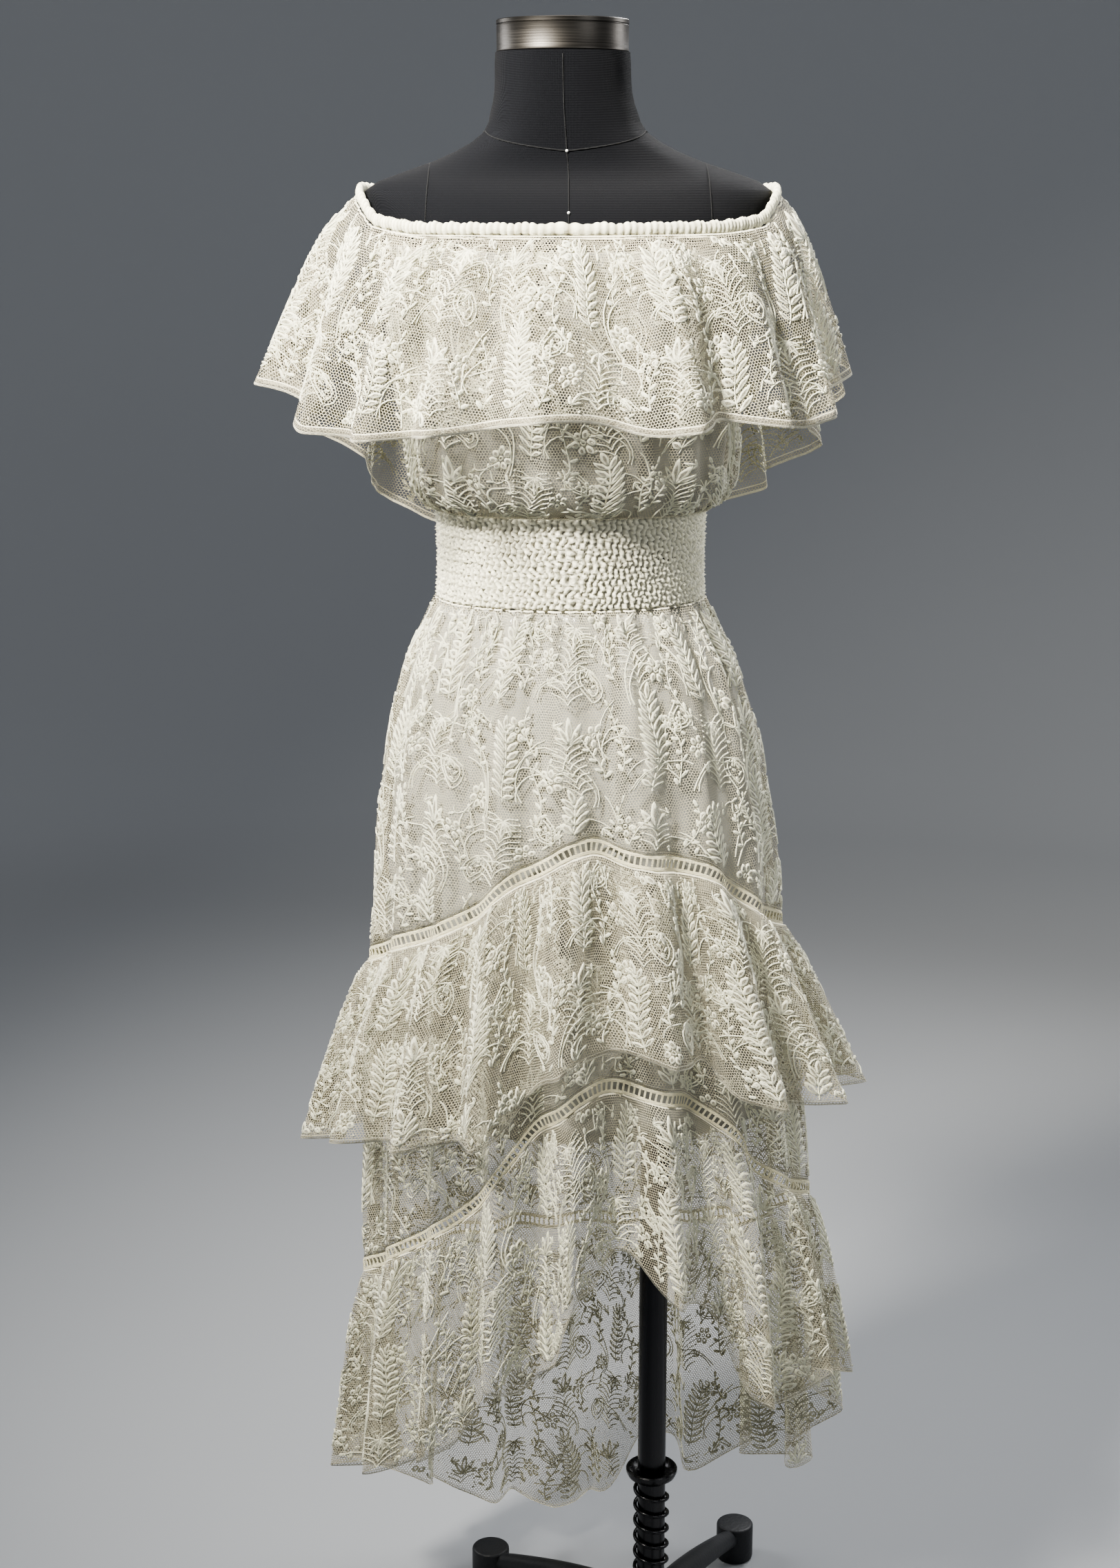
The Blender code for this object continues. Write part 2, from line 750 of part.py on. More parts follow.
def foot_mesh():
    mesh = bpy.data.meshes.new("foot")
    bm = bmesh.new()
    bmesh.ops.create_cone(bm, cap_ends=True, segments=16, radius1=FOOT_RADIUS,
                          radius2=FOOT_RADIUS, depth=FOOT_HIGH)
    rims = [edge for edge in bm.edges if abs(edge.verts[0].co.z - edge.verts[1].co.z) < 1e-6]
    bmesh.ops.bevel(bm, geom=rims, offset=0.003, segments=1, affect="EDGES")
    bmesh.ops.translate(bm, verts=bm.verts[:], vec=(LEG_REACH, 0.0, FOOT_HIGH / 2))
    bm.to_mesh(mesh)
    bm.free()
    return mesh


def base_legs(finish):
    """Legs all alike, turned about the pole."""
    leg = add_object("leg_whole", leg_mesh(), finish)
    foot = add_object("foot_whole", foot_mesh(), finish)
    join = leg.modifiers.new("foot", "BOOLEAN")
    join.operation = "UNION"
    join.object = foot
    join.solver = "EXACT"
    whole = solid_mesh(leg, "base_leg")
    bpy.data.objects.remove(leg, do_unlink=True)
    bpy.data.objects.remove(foot, do_unlink=True)
    for number in range(LEGS):
        obj = add_object("base_leg_" + str(number + 1), whole, finish)
        obj.location = (FORM_X + POLE_X, FORM_Y, 0.0)
        obj.rotation_euler = (0.0, 0.0, math.radians(FIRST_LEG + number * 360 / LEGS))


def main():
    clear_scene()
    lace = material("lace", (0.86, 0.82, 0.72), 0.85)
    trim = material("trim", (0.84, 0.79, 0.66), 0.80)
    satin = material("satin", (0.62, 0.61, 0.56), 0.40)
    cover = material("form_cover", (0.018, 0.022, 0.028), 0.85)
    gunmetal = material("gunmetal", (0.08, 0.08, 0.09), 0.35, 1.0)
    steel = material("steel", (0.16, 0.17, 0.19), 0.35, 1.0)
    iron = material("cast_iron", (0.015, 0.016, 0.018), 0.55, 0.6)
    columns = gather_columns()

    half = TRIM_HIGH / 2
    front_and_back("bodice", bodice, columns, 3, lace)
    cloth_tube("bodice_lining", bodice_lining, gather_columns(2), 2, satin)
    neck_casing(columns, trim)
    front_and_back("neck_flounce", neck_flounce, columns, 3, lace, inner=True)
    waistband(lace)
    front_and_back("skirt_upper", skirt_strip(
        skirt_top, over_trim(upper_trim), 1.3), columns, 4, lace)
    cloth_tube("skirt_lining", skirt_lining, gather_columns(2), 4, satin)
    cloth_tube("trim_upper", skirt_strip(
        lambda a: upper_trim(a) + half, lambda a: upper_trim(a) - half), columns, 1, trim)
    front_and_back("flounce_upper", upper_flounce, columns, 3, lace, inner=True)
    front_and_back("skirt_lower", skirt_strip(
        under_trim(upper_trim), over_trim(lower_trim)), columns, 3, lace)
    cloth_tube("trim_lower", skirt_strip(
        lambda a: lower_trim(a) + half, lambda a: lower_trim(a) - half), columns, 1, trim)
    front_and_back("flounce_lower", lower_flounce, columns, 3, lace)

    loft("form_torso", FORM, 24, cover, 2.3)
    neck_cap(gunmetal)
    pole(steel)
    collar(steel)
    spring(steel)
    base_hub(iron)
    base_legs(iron)


main()
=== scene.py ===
"""Off-shoulder lace dress on a limbless dress form: finish of every surface.

The cloth follows the same tables by height and by azimuth as its solids. Azimuth 0 is the
front (-Y), 90 the wearer's left (+X) and 180 the back.
"""
import math
from collections import namedtuple

import bmesh
import bpy
import numpy as np
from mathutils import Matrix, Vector


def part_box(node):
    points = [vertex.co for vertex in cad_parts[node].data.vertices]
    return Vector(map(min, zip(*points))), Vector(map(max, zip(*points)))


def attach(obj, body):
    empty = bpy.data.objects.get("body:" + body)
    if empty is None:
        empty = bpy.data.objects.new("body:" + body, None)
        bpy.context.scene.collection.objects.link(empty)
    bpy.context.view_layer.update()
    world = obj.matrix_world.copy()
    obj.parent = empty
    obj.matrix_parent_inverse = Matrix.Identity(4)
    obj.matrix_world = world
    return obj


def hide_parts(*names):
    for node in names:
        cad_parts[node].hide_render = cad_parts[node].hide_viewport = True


bl_info = {
    "name": "Off-shoulder lace dress on a form",
    "version": (1, 0, 0),
    "blender": (4, 5, 0),
    "location": "View3D > Sidebar > Dress",
    "description": "Lace dress with flounces, its form, stand and studio",
    "category": "Add Mesh",
}

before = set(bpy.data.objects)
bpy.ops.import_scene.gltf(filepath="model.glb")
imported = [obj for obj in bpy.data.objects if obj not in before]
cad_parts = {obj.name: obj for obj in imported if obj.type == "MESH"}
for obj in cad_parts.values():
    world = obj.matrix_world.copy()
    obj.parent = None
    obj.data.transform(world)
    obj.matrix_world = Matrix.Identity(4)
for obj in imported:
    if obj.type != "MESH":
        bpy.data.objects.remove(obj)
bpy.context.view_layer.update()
BODY = "root"

# The form's own axis
FORM_X = -0.0393
FORM_Y = -0.0006

# Camera, as the photograph was taken
EYE_DISTANCE = 2.17
EYE_HEIGHT = 1.49
EYE_PITCH = 13.8
LENS = 53.83

# Sewing sizes
LACE_THICK = 0.0006
SATIN_THICK = 0.0005
LAYER = 0.0006
SEAM = 0.0004
TRIM_HIGH = 0.013
SIDE_GAP = 0.0008
WAVES = 18
BAND_TOP = 1.2220
BAND_BOTTOM = 1.1404
SLIP_HEM = 0.660
UNDERARM = 1.388
CASING_HIGH = 0.0065
CASING_THICK = 0.0036
WALL_INSET = 0.0004

# How square the rings of the bodice and of the form are; a true ellipse is 2
BODICE_SQUARE = 2.6
FORM_SQUARE = 2.3

Section = namedtuple("Section", "height centre_x half_width front back")
Line = namedtuple("Line", "azimuth height")
Frill = namedtuple("Frill", "azimuth height reach")
Swell = namedtuple("Swell", "height depth")

# Outer face of the skirt from the lowest seam up to the waistband
SKIRT = [
    Section(0.380, 0.0275, 0.2150, 0.192, 0.200),
    Section(0.430, 0.0270, 0.2145, 0.190, 0.198),
    Section(0.540, 0.0265, 0.2135, 0.188, 0.194),
    Section(0.600, 0.0255, 0.2110, 0.184, 0.190),
    Section(0.785, 0.0175, 0.1955, 0.168, 0.176),
    Section(0.825, 0.0165, 0.1925, 0.164, 0.172),
    Section(0.913, 0.0155, 0.1860, 0.155, 0.164),
    Section(0.960, 0.0140, 0.1795, 0.147, 0.158),
    Section(1.006, 0.0128, 0.1730, 0.138, 0.150),
    Section(1.045, 0.0117, 0.1634, 0.129, 0.140),
    Section(1.085, 0.0108, 0.1515, 0.118, 0.125),
    Section(1.110, 0.0105, 0.1390, 0.108, 0.112),
    Section(1.140, 0.0100, 0.1240, 0.098, 0.098),
]

# Depth of the skirt's gathers by height
SKIRT_SWELL = [
    Swell(0.380, 0.0120),
    Swell(0.600, 0.0110),
    Swell(0.800, 0.0090),
    Swell(0.950, 0.0060),
    Swell(1.080, 0.0030),
    Swell(1.140, 0.0010),
]

# Outer face of the bodice from the waistband up to the neck casing
BODICE = [
    Section(1.2225, 0.0110, 0.1250, 0.100, 0.100),
    Section(1.2290, 0.0112, 0.1350, 0.109, 0.108),
    Section(1.2400, 0.0112, 0.1430, 0.116, 0.113),
    Section(1.2700, 0.0100, 0.1490, 0.119, 0.115),
    Section(1.3200, 0.0090, 0.1540, 0.124, 0.114),
    Section(1.3700, 0.0080, 0.1600, 0.127, 0.112),
    Section(1.4300, 0.0075, 0.1740, 0.120, 0.108),
    Section(1.4700, 0.0075, 0.1850, 0.113, 0.102),
    Section(1.5200, 0.0075, 0.1865, 0.112, 0.100),
]

# The form under the cloth, from its underside up to the neck
FORM = [
    Section(0.8450, 0.0120, 0.1300, 0.092, 0.100),
    Section(0.8500, 0.0120, 0.1450, 0.102, 0.112),
    Section(0.8650, 0.0120, 0.1560, 0.110, 0.122),
    Section(0.9400, 0.0125, 0.1620, 0.117, 0.130),
    Section(1.0100, 0.0120, 0.1560, 0.113, 0.126),
    Section(1.0800, 0.0108, 0.1370, 0.101, 0.108),
    Section(1.1300, 0.0100, 0.1170, 0.0912, 0.0912),
    Section(1.1800, 0.0100, 0.1203, 0.0945, 0.0945),
    Section(1.2200, 0.0100, 0.1185, 0.0930, 0.0930),
    Section(1.3000, 0.0095, 0.1300, 0.105, 0.096),
    Section(1.3700, 0.0080, 0.1450, 0.114, 0.098),
    Section(1.4300, 0.0075, 0.1600, 0.106, 0.096),
    Section(1.4700, 0.0075, 0.1755, 0.098, 0.088),
    Section(1.4950, 0.0075, 0.1820, 0.084, 0.078),
    Section(1.5080, 0.0075, 0.1800, 0.072, 0.070),
    Section(1.5165, 0.0075, 0.1630, 0.062, 0.063),
    Section(1.5260, 0.0070, 0.1330, 0.056, 0.060),
    Section(1.5380, 0.0060, 0.1020, 0.054, 0.058),
    Section(1.5530, 0.0050, 0.0760, 0.054, 0.057),
    Section(1.5750, 0.0035, 0.0650, 0.054, 0.055),
    Section(1.6235, 0.0024, 0.0600, 0.054, 0.052),
]

# Height of the neck casing's middle
NECK_LINE = [
    Line(-180, 1.5000),
    Line(-130, 1.5040),
    Line(-90, 1.5070),
    Line(-74, 1.4960),
    Line(-62, 1.4800),
    Line(-40, 1.4730),
    Line(0, 1.4720),
    Line(40, 1.4740),
    Line(62, 1.4800),
    Line(74, 1.4960),
    Line(90, 1.5070),
    Line(130, 1.5040),
]

# Neck flounce: hem height and how far the hem stands off the casing
NECK_FRILL = [
    Frill(-180, 1.1880, 0.056),
    Frill(-155, 1.1900, 0.058),
    Frill(-138, 1.2350, 0.056),
    Frill(-122, 1.2760, 0.062),
    Frill(-106, 1.3220, 0.073),
    Frill(-90, 1.3450, 0.080),
    Frill(-76, 1.3320, 0.074),
    Frill(-58, 1.2980, 0.064),
    Frill(-35, 1.2940, 0.062),
    Frill(-15, 1.3020, 0.062),
    Frill(0, 1.3160, 0.060),
    Frill(10, 1.2990, 0.062),
    Frill(24, 1.3140, 0.060),
    Frill(38, 1.3060, 0.060),
    Frill(54, 1.3020, 0.060),
    Frill(72, 1.3310, 0.058),
    Frill(90, 1.3600, 0.055),
    Frill(106, 1.3080, 0.060),
    Frill(122, 1.2650, 0.060),
    Frill(140, 1.2250, 0.056),
    Frill(158, 1.2000, 0.058),
]

# Middle of the upper ladder trim, arched up at the front
UPPER_TRIM = [
    Line(-180, 0.762),
    Line(-130, 0.768),
    Line(-90, 0.783),
    Line(-67, 0.818),
    Line(-40, 0.850),
    Line(-25, 0.876),
    Line(-17, 0.904),
    Line(-9, 0.914),
    Line(-1, 0.935),
    Line(5, 0.938),
    Line(10, 0.926),
    Line(23, 0.919),
    Line(36, 0.909),
    Line(48, 0.885),
    Line(60, 0.859),
    Line(90, 0.822),
    Line(130, 0.778),
]

# Hem of the upper flounce and how far it stands off the skirt
UPPER_FRILL = [
    Frill(-180, 0.545, 0.046),
    Frill(-130, 0.560, 0.048),
    Frill(-90, 0.602, 0.045),
    Frill(-58, 0.646, 0.048),
    Frill(-35, 0.664, 0.050),
    Frill(-24, 0.671, 0.048),
    Frill(-16, 0.680, 0.046),
    Frill(-12, 0.708, 0.044),
    Frill(-7, 0.734, 0.043),
    Frill(-1, 0.756, 0.042),
    Frill(9, 0.758, 0.042),
    Frill(28, 0.744, 0.044),
    Frill(32, 0.708, 0.048),
    Frill(50, 0.686, 0.054),
    Frill(65, 0.682, 0.052),
    Frill(90, 0.668, 0.049),
    Frill(130, 0.582, 0.052),
]

# Middle of the lower ladder trim
LOWER_TRIM = [
    Line(-180, 0.420),
    Line(-130, 0.424),
    Line(-100, 0.436),
    Line(-80, 0.480),
    Line(-56, 0.528),
    Line(-34, 0.578),
    Line(-24, 0.611),
    Line(-11, 0.679),
    Line(-6, 0.688),
    Line(1, 0.716),
    Line(8, 0.715),
    Line(25, 0.700),
    Line(35, 0.674),
    Line(48, 0.620),
    Line(60, 0.590),
    Line(90, 0.547),
    Line(130, 0.450),
]

# Hem of the lower flounce, short at the front and long at the back
LOWER_FRILL = [
    Frill(-180, 0.050, 0.040),
    Frill(-157, 0.072, 0.036),
    Frill(-140, 0.108, 0.032),
    Frill(-125, 0.150, 0.028),
    Frill(-90, 0.248, 0.018),
    Frill(-76, 0.270, 0.018),
    Frill(-54, 0.307, 0.018),
    Frill(-36, 0.350, 0.018),
    Frill(-31, 0.360, 0.018),
    Frill(-27, 0.396, 0.018),
    Frill(-20, 0.440, 0.018),
    Frill(-15, 0.418, 0.018),
    Frill(-7, 0.448, 0.018),
    Frill(-5, 0.468, 0.018),
    Frill(-3, 0.534, 0.018),
    Frill(1, 0.530, 0.018),
    Frill(3, 0.556, 0.018),
    Frill(9, 0.560, 0.018),
    Frill(14, 0.528, 0.018),
    Frill(31, 0.490, 0.020),
    Frill(33, 0.462, 0.021),
    Frill(35, 0.410, 0.022),
    Frill(51, 0.376, 0.026),
    Frill(56, 0.386, 0.028),
    Frill(60, 0.410, 0.030),
    Frill(90, 0.346, 0.030),
    Frill(118, 0.162, 0.036),
    Frill(132, 0.172, 0.036),
    Frill(150, 0.120, 0.038),
    Frill(160, 0.126, 0.040),
    Frill(167, 0.152, 0.040),
    Frill(174, 0.078, 0.040),
]

FRONT = (-0.5 * math.pi, 0.5 * math.pi)
BACK = (0.5 * math.pi, 1.5 * math.pi)
ROUND = (-math.pi, math.pi)
PANEL_SPANS = {"front": FRONT, "back": BACK}

MATERIALS = {}
REPEAT = {}


class LaceSettings(bpy.types.PropertyGroup):
    """Sizes and colours of the cloth."""
    net_cell: bpy.props.FloatProperty(
        name="Net cell", description="Width of one hexagon of the net",
        default=0.0027, unit="LENGTH")
    net_thread: bpy.props.FloatProperty(
        name="Net thread", description="Share of a cell that its thread fills",
        default=0.30, subtype="FACTOR")
    repeat_wide: bpy.props.FloatProperty(
        name="Repeat width", description="Width of the lace's floral repeat",
        default=0.150, unit="LENGTH")
    repeat_high: bpy.props.FloatProperty(
        name="Repeat height", description="Height of the lace's floral repeat",
        default=0.172, unit="LENGTH")
    cord_wide: bpy.props.FloatProperty(
        name="Cord", description="Width of the cord that outlines the flowers",
        default=0.00135, unit="LENGTH")
    cord_high: bpy.props.FloatProperty(
        name="Cord height", description="How far the cord stands off the net",
        default=0.0013, unit="LENGTH")
    rung_pitch: bpy.props.FloatProperty(
        name="Rung pitch", description="Distance between the rungs of the ladder trim",
        default=0.0054, unit="LENGTH")
    rung_wide: bpy.props.FloatProperty(
        name="Rung width", description="Width of one rung of the ladder trim",
        default=0.0019, unit="LENGTH")
    puff_rows: bpy.props.IntProperty(
        name="Shirring rows", description="Rows of puffs on the waistband", default=15)
    puffs: bpy.props.IntProperty(
        name="Puffs", description="Puffs round the waistband", default=130)
    net_colour: bpy.props.FloatVectorProperty(
        name="Net", description="Colour of the net", subtype="COLOR",
        default=(0.58, 0.532, 0.39))
    cord_colour: bpy.props.FloatVectorProperty(
        name="Cord colour", description="Colour of the corded flowers", subtype="COLOR",
        default=(1.0, 0.950, 0.745))
    tape_colour: bpy.props.FloatVectorProperty(
        name="Tape", description="Colour of casing, ladder trims and hems", subtype="COLOR",
        default=(0.98, 0.885, 0.61))
    satin_colour: bpy.props.FloatVectorProperty(
        name="Satin", description="Colour of the lining", subtype="COLOR",
        default=(0.43, 0.432, 0.395))


class StandSettings(bpy.types.PropertyGroup):
    """Sizes and colours of the form and its stand."""
    pole_x: bpy.props.FloatProperty(
        name="Pole place", description="Pole's distance to the side of the form's axis",
        default=0.0940, unit="LENGTH")
    spring_turns: bpy.props.IntProperty(
        name="Spring turns", description="Turns of the coil round the pole's foot", default=6)
    spring_wire: bpy.props.FloatProperty(
        name="Spring wire", description="Radius of the spring's wire",
        default=0.0020, unit="LENGTH")
    leg_reach: bpy.props.FloatProperty(
        name="Leg reach", description="Distance from the pole to the middle of a foot",
        default=0.2380, unit="LENGTH")
    cover_colour: bpy.props.FloatVectorProperty(
        name="Cover", description="Colour of the form's cloth cover", subtype="COLOR",
        default=(0.0042, 0.0047, 0.0066))
    iron_colour: bpy.props.FloatVectorProperty(
        name="Base", description="Colour of the painted casting", subtype="COLOR",
        default=(0.016, 0.017, 0.019))


def lace():
    return bpy.context.scene.dress_lace


def stand():
    return bpy.context.scene.dress_stand


# Shape of the cloth
def along(table, field, at):
    """The value of a table's field at a height, on a cubic through its rows."""
    knots = np.array([row.height for row in table])
    values = np.array([getattr(row, field) for row in table])
    slopes = np.gradient(values, knots)
    spot = np.clip(at, knots[0], knots[-1])
    left = np.clip(np.searchsorted(knots, spot) - 1, 0, len(knots) - 2)
    span = knots[left + 1] - knots[left]
    part = (spot - knots[left]) / span
    rise = values[left + 1] - values[left]
    pull = slopes[left] * span - rise
    push = rise - slopes[left + 1] * span
    bend = part * (1 - part) * (pull * (1 - part) + push * part)
    return values[left] + rise * part + bend


def around(table, field, azimuth, soften=3.0):
    """The value of a table's field at an azimuth, its corners softened over a few degrees."""
    angles = [row.azimuth for row in table]
    values = [getattr(row, field) for row in table]
    total = 0.0
    for step in (-1.0, -0.5, 0.0, 0.5, 1.0):
        total = total + np.interp(np.degrees(azimuth) + step * soften, angles, values, period=360)
    return total / 5


def section_point(table, azimuth, height, out=0.0, square=2.2):
    """A point on a section of the table, moved out along its own radius."""
    side = np.sign(np.sin(azimuth)) * np.abs(np.sin(azimuth)) ** (2 / square)
    ahead = np.sign(np.cos(azimuth)) * np.abs(np.cos(azimuth)) ** (2 / square)
    depth = np.where(ahead > 0, along(table, "front", height), along(table, "back", height))
    x = along(table, "half_width", height) * side
    y = -depth * ahead
    length = np.hypot(x, y)
    x = x + x / length * out + along(table, "centre_x", height)
    y = y + y / length * out
    return np.stack([x + FORM_X, y + FORM_Y, height + 0.0 * x], axis=-1)


def gather_phase(azimuth):
    drift = 0.75 * np.sin(2 * azimuth + 0.7) + 0.42 * np.sin(5 * azimuth + 2.1)
    return WAVES * azimuth + drift


def gathers(azimuth, turn=0.0, lobed=0.0):
    """Folds round the dress from -1 to 1, with full crests and narrow valleys when lobed."""
    depth = 0.80 + 0.20 * np.sin(3 * azimuth + 1.1)
    phase = gather_phase(azimuth) + turn * np.sin(4 * azimuth + 0.4)
    full = 2 * np.abs(np.cos(0.5 * phase)) - 1
    return depth * ((1 - lobed) * np.cos(phase) + lobed * full)


def minor_folds(azimuth, part, depth):
    """Smaller folds between the main ones, that start at a seam and spread or die out."""
    spread = 1.1 * np.sin(3 * azimuth + 0.9) + 0.5 * part
    first = np.cos(2 * gather_phase(azimuth) + spread) * (0.5 + 0.5 * np.sin(7 * azimuth))
    second = np.cos(3 * gather_phase(azimuth) + 2.0 * spread) * (1 - part)
    return depth * part ** 0.4 * (first + 0.5 * second)


def leaning(azimuth, part, lean, turn=0.0):
    """Azimuth pushed towards each fold's crest, so that folds grow narrow necks."""
    drift = turn * np.sin(4 * azimuth + 0.4)
    sway = 0.75 + 0.25 * np.sin(2 * azimuth + 0.3)
    return azimuth - lean * sway * part * np.sin(gather_phase(azimuth) + drift) / WAVES


def pucker(azimuth, part, depth, fade):
    """Small gathers under a seam that die out down the cloth."""
    fine = np.cos(61 * azimuth + 1.3 * np.sin(7 * azimuth)) + 0.6 * np.cos(97 * azimuth + 0.8)
    return depth * fine * np.exp(-fade * part) / 1.6


def crinkle(azimuth, height, depth):
    """Slight unevenness of hanging cloth."""
    slow = np.sin(23 * azimuth + 31 * height + 0.6) * np.sin(17 * height + 2.0)
    return depth * (slow + 0.5 * np.sin(41 * azimuth - 47 * height + 1.7))


def skirt_out(azimuth, height):
    return along(SKIRT_SWELL, "depth", height) * gathers(azimuth)


def upper_trim(azimuth):
    return around(UPPER_TRIM, "height", azimuth)


def lower_trim(azimuth):
    return around(LOWER_TRIM, "height", azimuth)


def neck_line(azimuth):
    return around(NECK_LINE, "height", azimuth)


def trim_gap(line, azimuth):
    """How far cloth keeps off a trim's edge, more where the trim climbs."""
    reach, skirt_radius = 0.035, 0.19
    rise = (line(azimuth + reach) - line(azimuth - reach)) / (2 * reach * skirt_radius)
    return SEAM * (1 + rise * rise)


def under_trim(line):
    return lambda azimuth: line(azimuth) - TRIM_HIGH / 2 - trim_gap(line, azimuth)


def over_trim(line):
    return lambda azimuth: line(azimuth) + TRIM_HIGH / 2 + trim_gap(line, azimuth)


def skirt_strip(top, bottom, ease=0.0, sink=0.0):
    """A surface on the skirt's outer face between two heights given by azimuth."""
    def surface(azimuth, part):
        height = top(azimuth) + (bottom(azimuth) - top(azimuth)) * part
        out = skirt_out(azimuth, height) - sink
        if ease > 0:
            out = out + minor_folds(azimuth, part, 1.2 * ease) * (1 - part)
        out = out + pucker(azimuth, part, ease, 7.0) + crinkle(azimuth, height, 0.5 * ease)
        return section_point(SKIRT, azimuth, height, out)
    return surface


def skirt_top(azimuth):
    return BAND_BOTTOM - SEAM + 0.0 * azimuth


def upper_flounce(azimuth, part):
    at = leaning(azimuth, part, 0.50, 0.9)
    top = under_trim(upper_trim)(azimuth)
    height = top + (around(UPPER_FRILL, "height", at, 1.5) - top) * part
    reach = around(UPPER_FRILL, "reach", at) * (0.14 * (1 - (1 - part) ** 6) + 0.86 * part)
    out = skirt_out(azimuth, height) + 2 * LAYER + reach * (1 + 0.36 * gathers(azimuth, 0.9, 0.6))
    out = out + np.abs(minor_folds(azimuth, part, 0.0052)) * (1 - 0.4 * part)
    out = out + np.abs(pucker(azimuth, part, 0.0022, 6.0)) + crinkle(azimuth, height, 0.0010) * part
    return section_point(SKIRT, at, height, out)


def lower_flounce(azimuth, part):
    at = leaning(azimuth, part, 0.60, 0.8)
    top = under_trim(lower_trim)(azimuth)
    height = top + (around(LOWER_FRILL, "height", at, 1.5) - top) * part
    reach = around(LOWER_FRILL, "reach", at) * part ** 0.7
    swell = 0.020 * part ** 0.8 * gathers(azimuth, 0.8, 0.6)
    out = skirt_out(azimuth, height) + reach + swell + minor_folds(azimuth, part, 0.0050)
    out = out + pucker(azimuth, part, 0.0018, 6.0) + crinkle(azimuth, height, 0.0012) * part
    return section_point(SKIRT, at, height, out)


def bodice_out(azimuth, height):
    """Blouse folds: gathers over the band, and slanting creases that run up from it."""
    rise = (height - BAND_TOP) / (1.47 - BAND_TOP)
    swell = 0.0045 * np.sin(np.clip(rise, 0, 1) * math.pi) * gathers(azimuth, 0.0, 0.6)
    slant = azimuth + 0.55 * np.clip(rise, 0, 1) * np.sin(2 * azimuth + 0.8)
    crease = 0.0042 * np.cos(23 * slant + 1.2 * np.sin(3 * azimuth)) * np.exp(-2.4 * rise)
    fine = 0.0026 * np.cos(67 * azimuth + 1.4 * np.sin(5 * azimuth)) * np.exp(-11 * rise)
    return swell + crease * np.clip(12 * rise, 0, 1) + fine


def bodice_top(azimuth):
    side = np.abs(np.abs(np.degrees(azimuth + math.pi) % 360 - 180) - 90)
    cut = np.clip((34.0 - side) / 26.0, 0, 1)
    high = neck_line(azimuth) - CASING_HIGH - SEAM
    return high + (UNDERARM - high) * (cut * cut * (3 - 2 * cut))


def bodice(azimuth, part):
    bottom = BAND_TOP + SEAM
    height = bottom + (bodice_top(azimuth) - bottom) * (1 - part) ** 1.35
    out = bodice_out(azimuth, height) + crinkle(azimuth, height, 0.0009) - WALL_INSET
    return section_point(BODICE, azimuth, height, out, BODICE_SQUARE)


def bodice_lining(azimuth, part):
    bottom = BAND_TOP + SEAM
    top = bodice_top(azimuth) - 0.012
    height = bottom + (top - bottom) * (1 - part)
    slant = azimuth + 0.9 * (1 - part) * np.sin(2 * azimuth + 0.8)
    crease = 0.0016 * (1 + np.cos(17 * slant + 1.5 * np.sin(4 * azimuth))) * np.exp(-2.0 * (1 - part))
    out = -np.interp(height, [1.2225, 1.25, 1.44, 1.50], [0.0060, 0.0086, 0.0086, 0.0050]) - crease
    return section_point(BODICE, azimuth, height, out, BODICE_SQUARE)


def neck_flounce(azimuth, part):
    at = leaning(azimuth, part, 0.42, 0.7)
    line = neck_line(azimuth)
    top = line - 0.80 * CASING_HIGH
    height = top + (around(NECK_FRILL, "height", at, 2.0) - top) * part
    reach = around(NECK_FRILL, "reach", at) * (0.22 * (1 - (1 - part) ** 8) + 0.78 * part)
    out = 4 * LAYER + reach * (1 + 0.30 * gathers(azimuth, 0.7, 0.5))
    out = out + np.abs(minor_folds(azimuth, part, 0.0044)) * (1 - 0.5 * part)
    out = out + np.abs(pucker(azimuth, part, 0.0022, 4.0)) + crinkle(azimuth, height, 0.0010) * part
    ring = section_point(BODICE, at, line, out, BODICE_SQUARE)
    ring[..., 2] = height
    return ring


def skirt_lining(azimuth, part):
    top = BAND_BOTTOM - SEAM
    clear = 0.0025
    height = top + (SLIP_HEM - top) * part
    out = -(along(SKIRT_SWELL, "depth", height) + clear) + 0.0012 * part * gathers(azimuth, 1.6)
    drape = 1 + np.cos(2 * gather_phase(azimuth) + 1.1 * np.sin(3 * azimuth + 0.9))
    out = out - 0.0030 * drape * np.clip(25 * part, 0, 1) * np.exp(-1.6 * part)
    return section_point(SKIRT, azimuth, height, out)


# Meshes
def surface_normals(surface, azimuth, part):
    """Unit normals, from points a small step away on both sides."""
    step, share = 0.0015, 0.004
    across = surface(azimuth + step, part) - surface(azimuth - step, part)
    low = np.clip(part + share, 0, 1)
    high = np.clip(part - share, 0, 1)
    down = surface(azimuth, low) - surface(azimuth, high)
    normal = np.cross(down, across)
    length = np.linalg.norm(normal, axis=-1, keepdims=True)
    return normal / np.maximum(length, 1e-12)


def finish_object(name, mesh, material, nodes=(), smooth=True):
    """A piece of the object: its material, its body and the nodes that it stands for."""
    obj = bpy.data.objects.new(name, mesh)
    bpy.context.scene.collection.objects.link(obj)
    if material.name not in [held.name for held in mesh.materials if held]:
        mesh.materials.append(material)
    if smooth:
        mesh.shade_smooth()
    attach(obj, BODY)
    if nodes:
        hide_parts(*nodes)
    return obj


def hard_piece(name, mesh, finish, nodes=()):
    """A rigid piece that keeps its own sharp edges; its finish names its slot too."""
    return finish_object(name, mesh, MATERIALS[finish], nodes, smooth=False)


def mesh_from(name, points, faces):
    mesh = bpy.data.meshes.new(name)
    mesh.from_pydata(points.tolist(), [], faces.tolist())
    return mesh


def paint(mesh, name, values):
    """A number for each point, read by the materials."""
    layer = mesh.attributes.new(name, "FLOAT", "POINT")
    layer.data.foreach_set("value", np.asarray(values, dtype=np.float32))


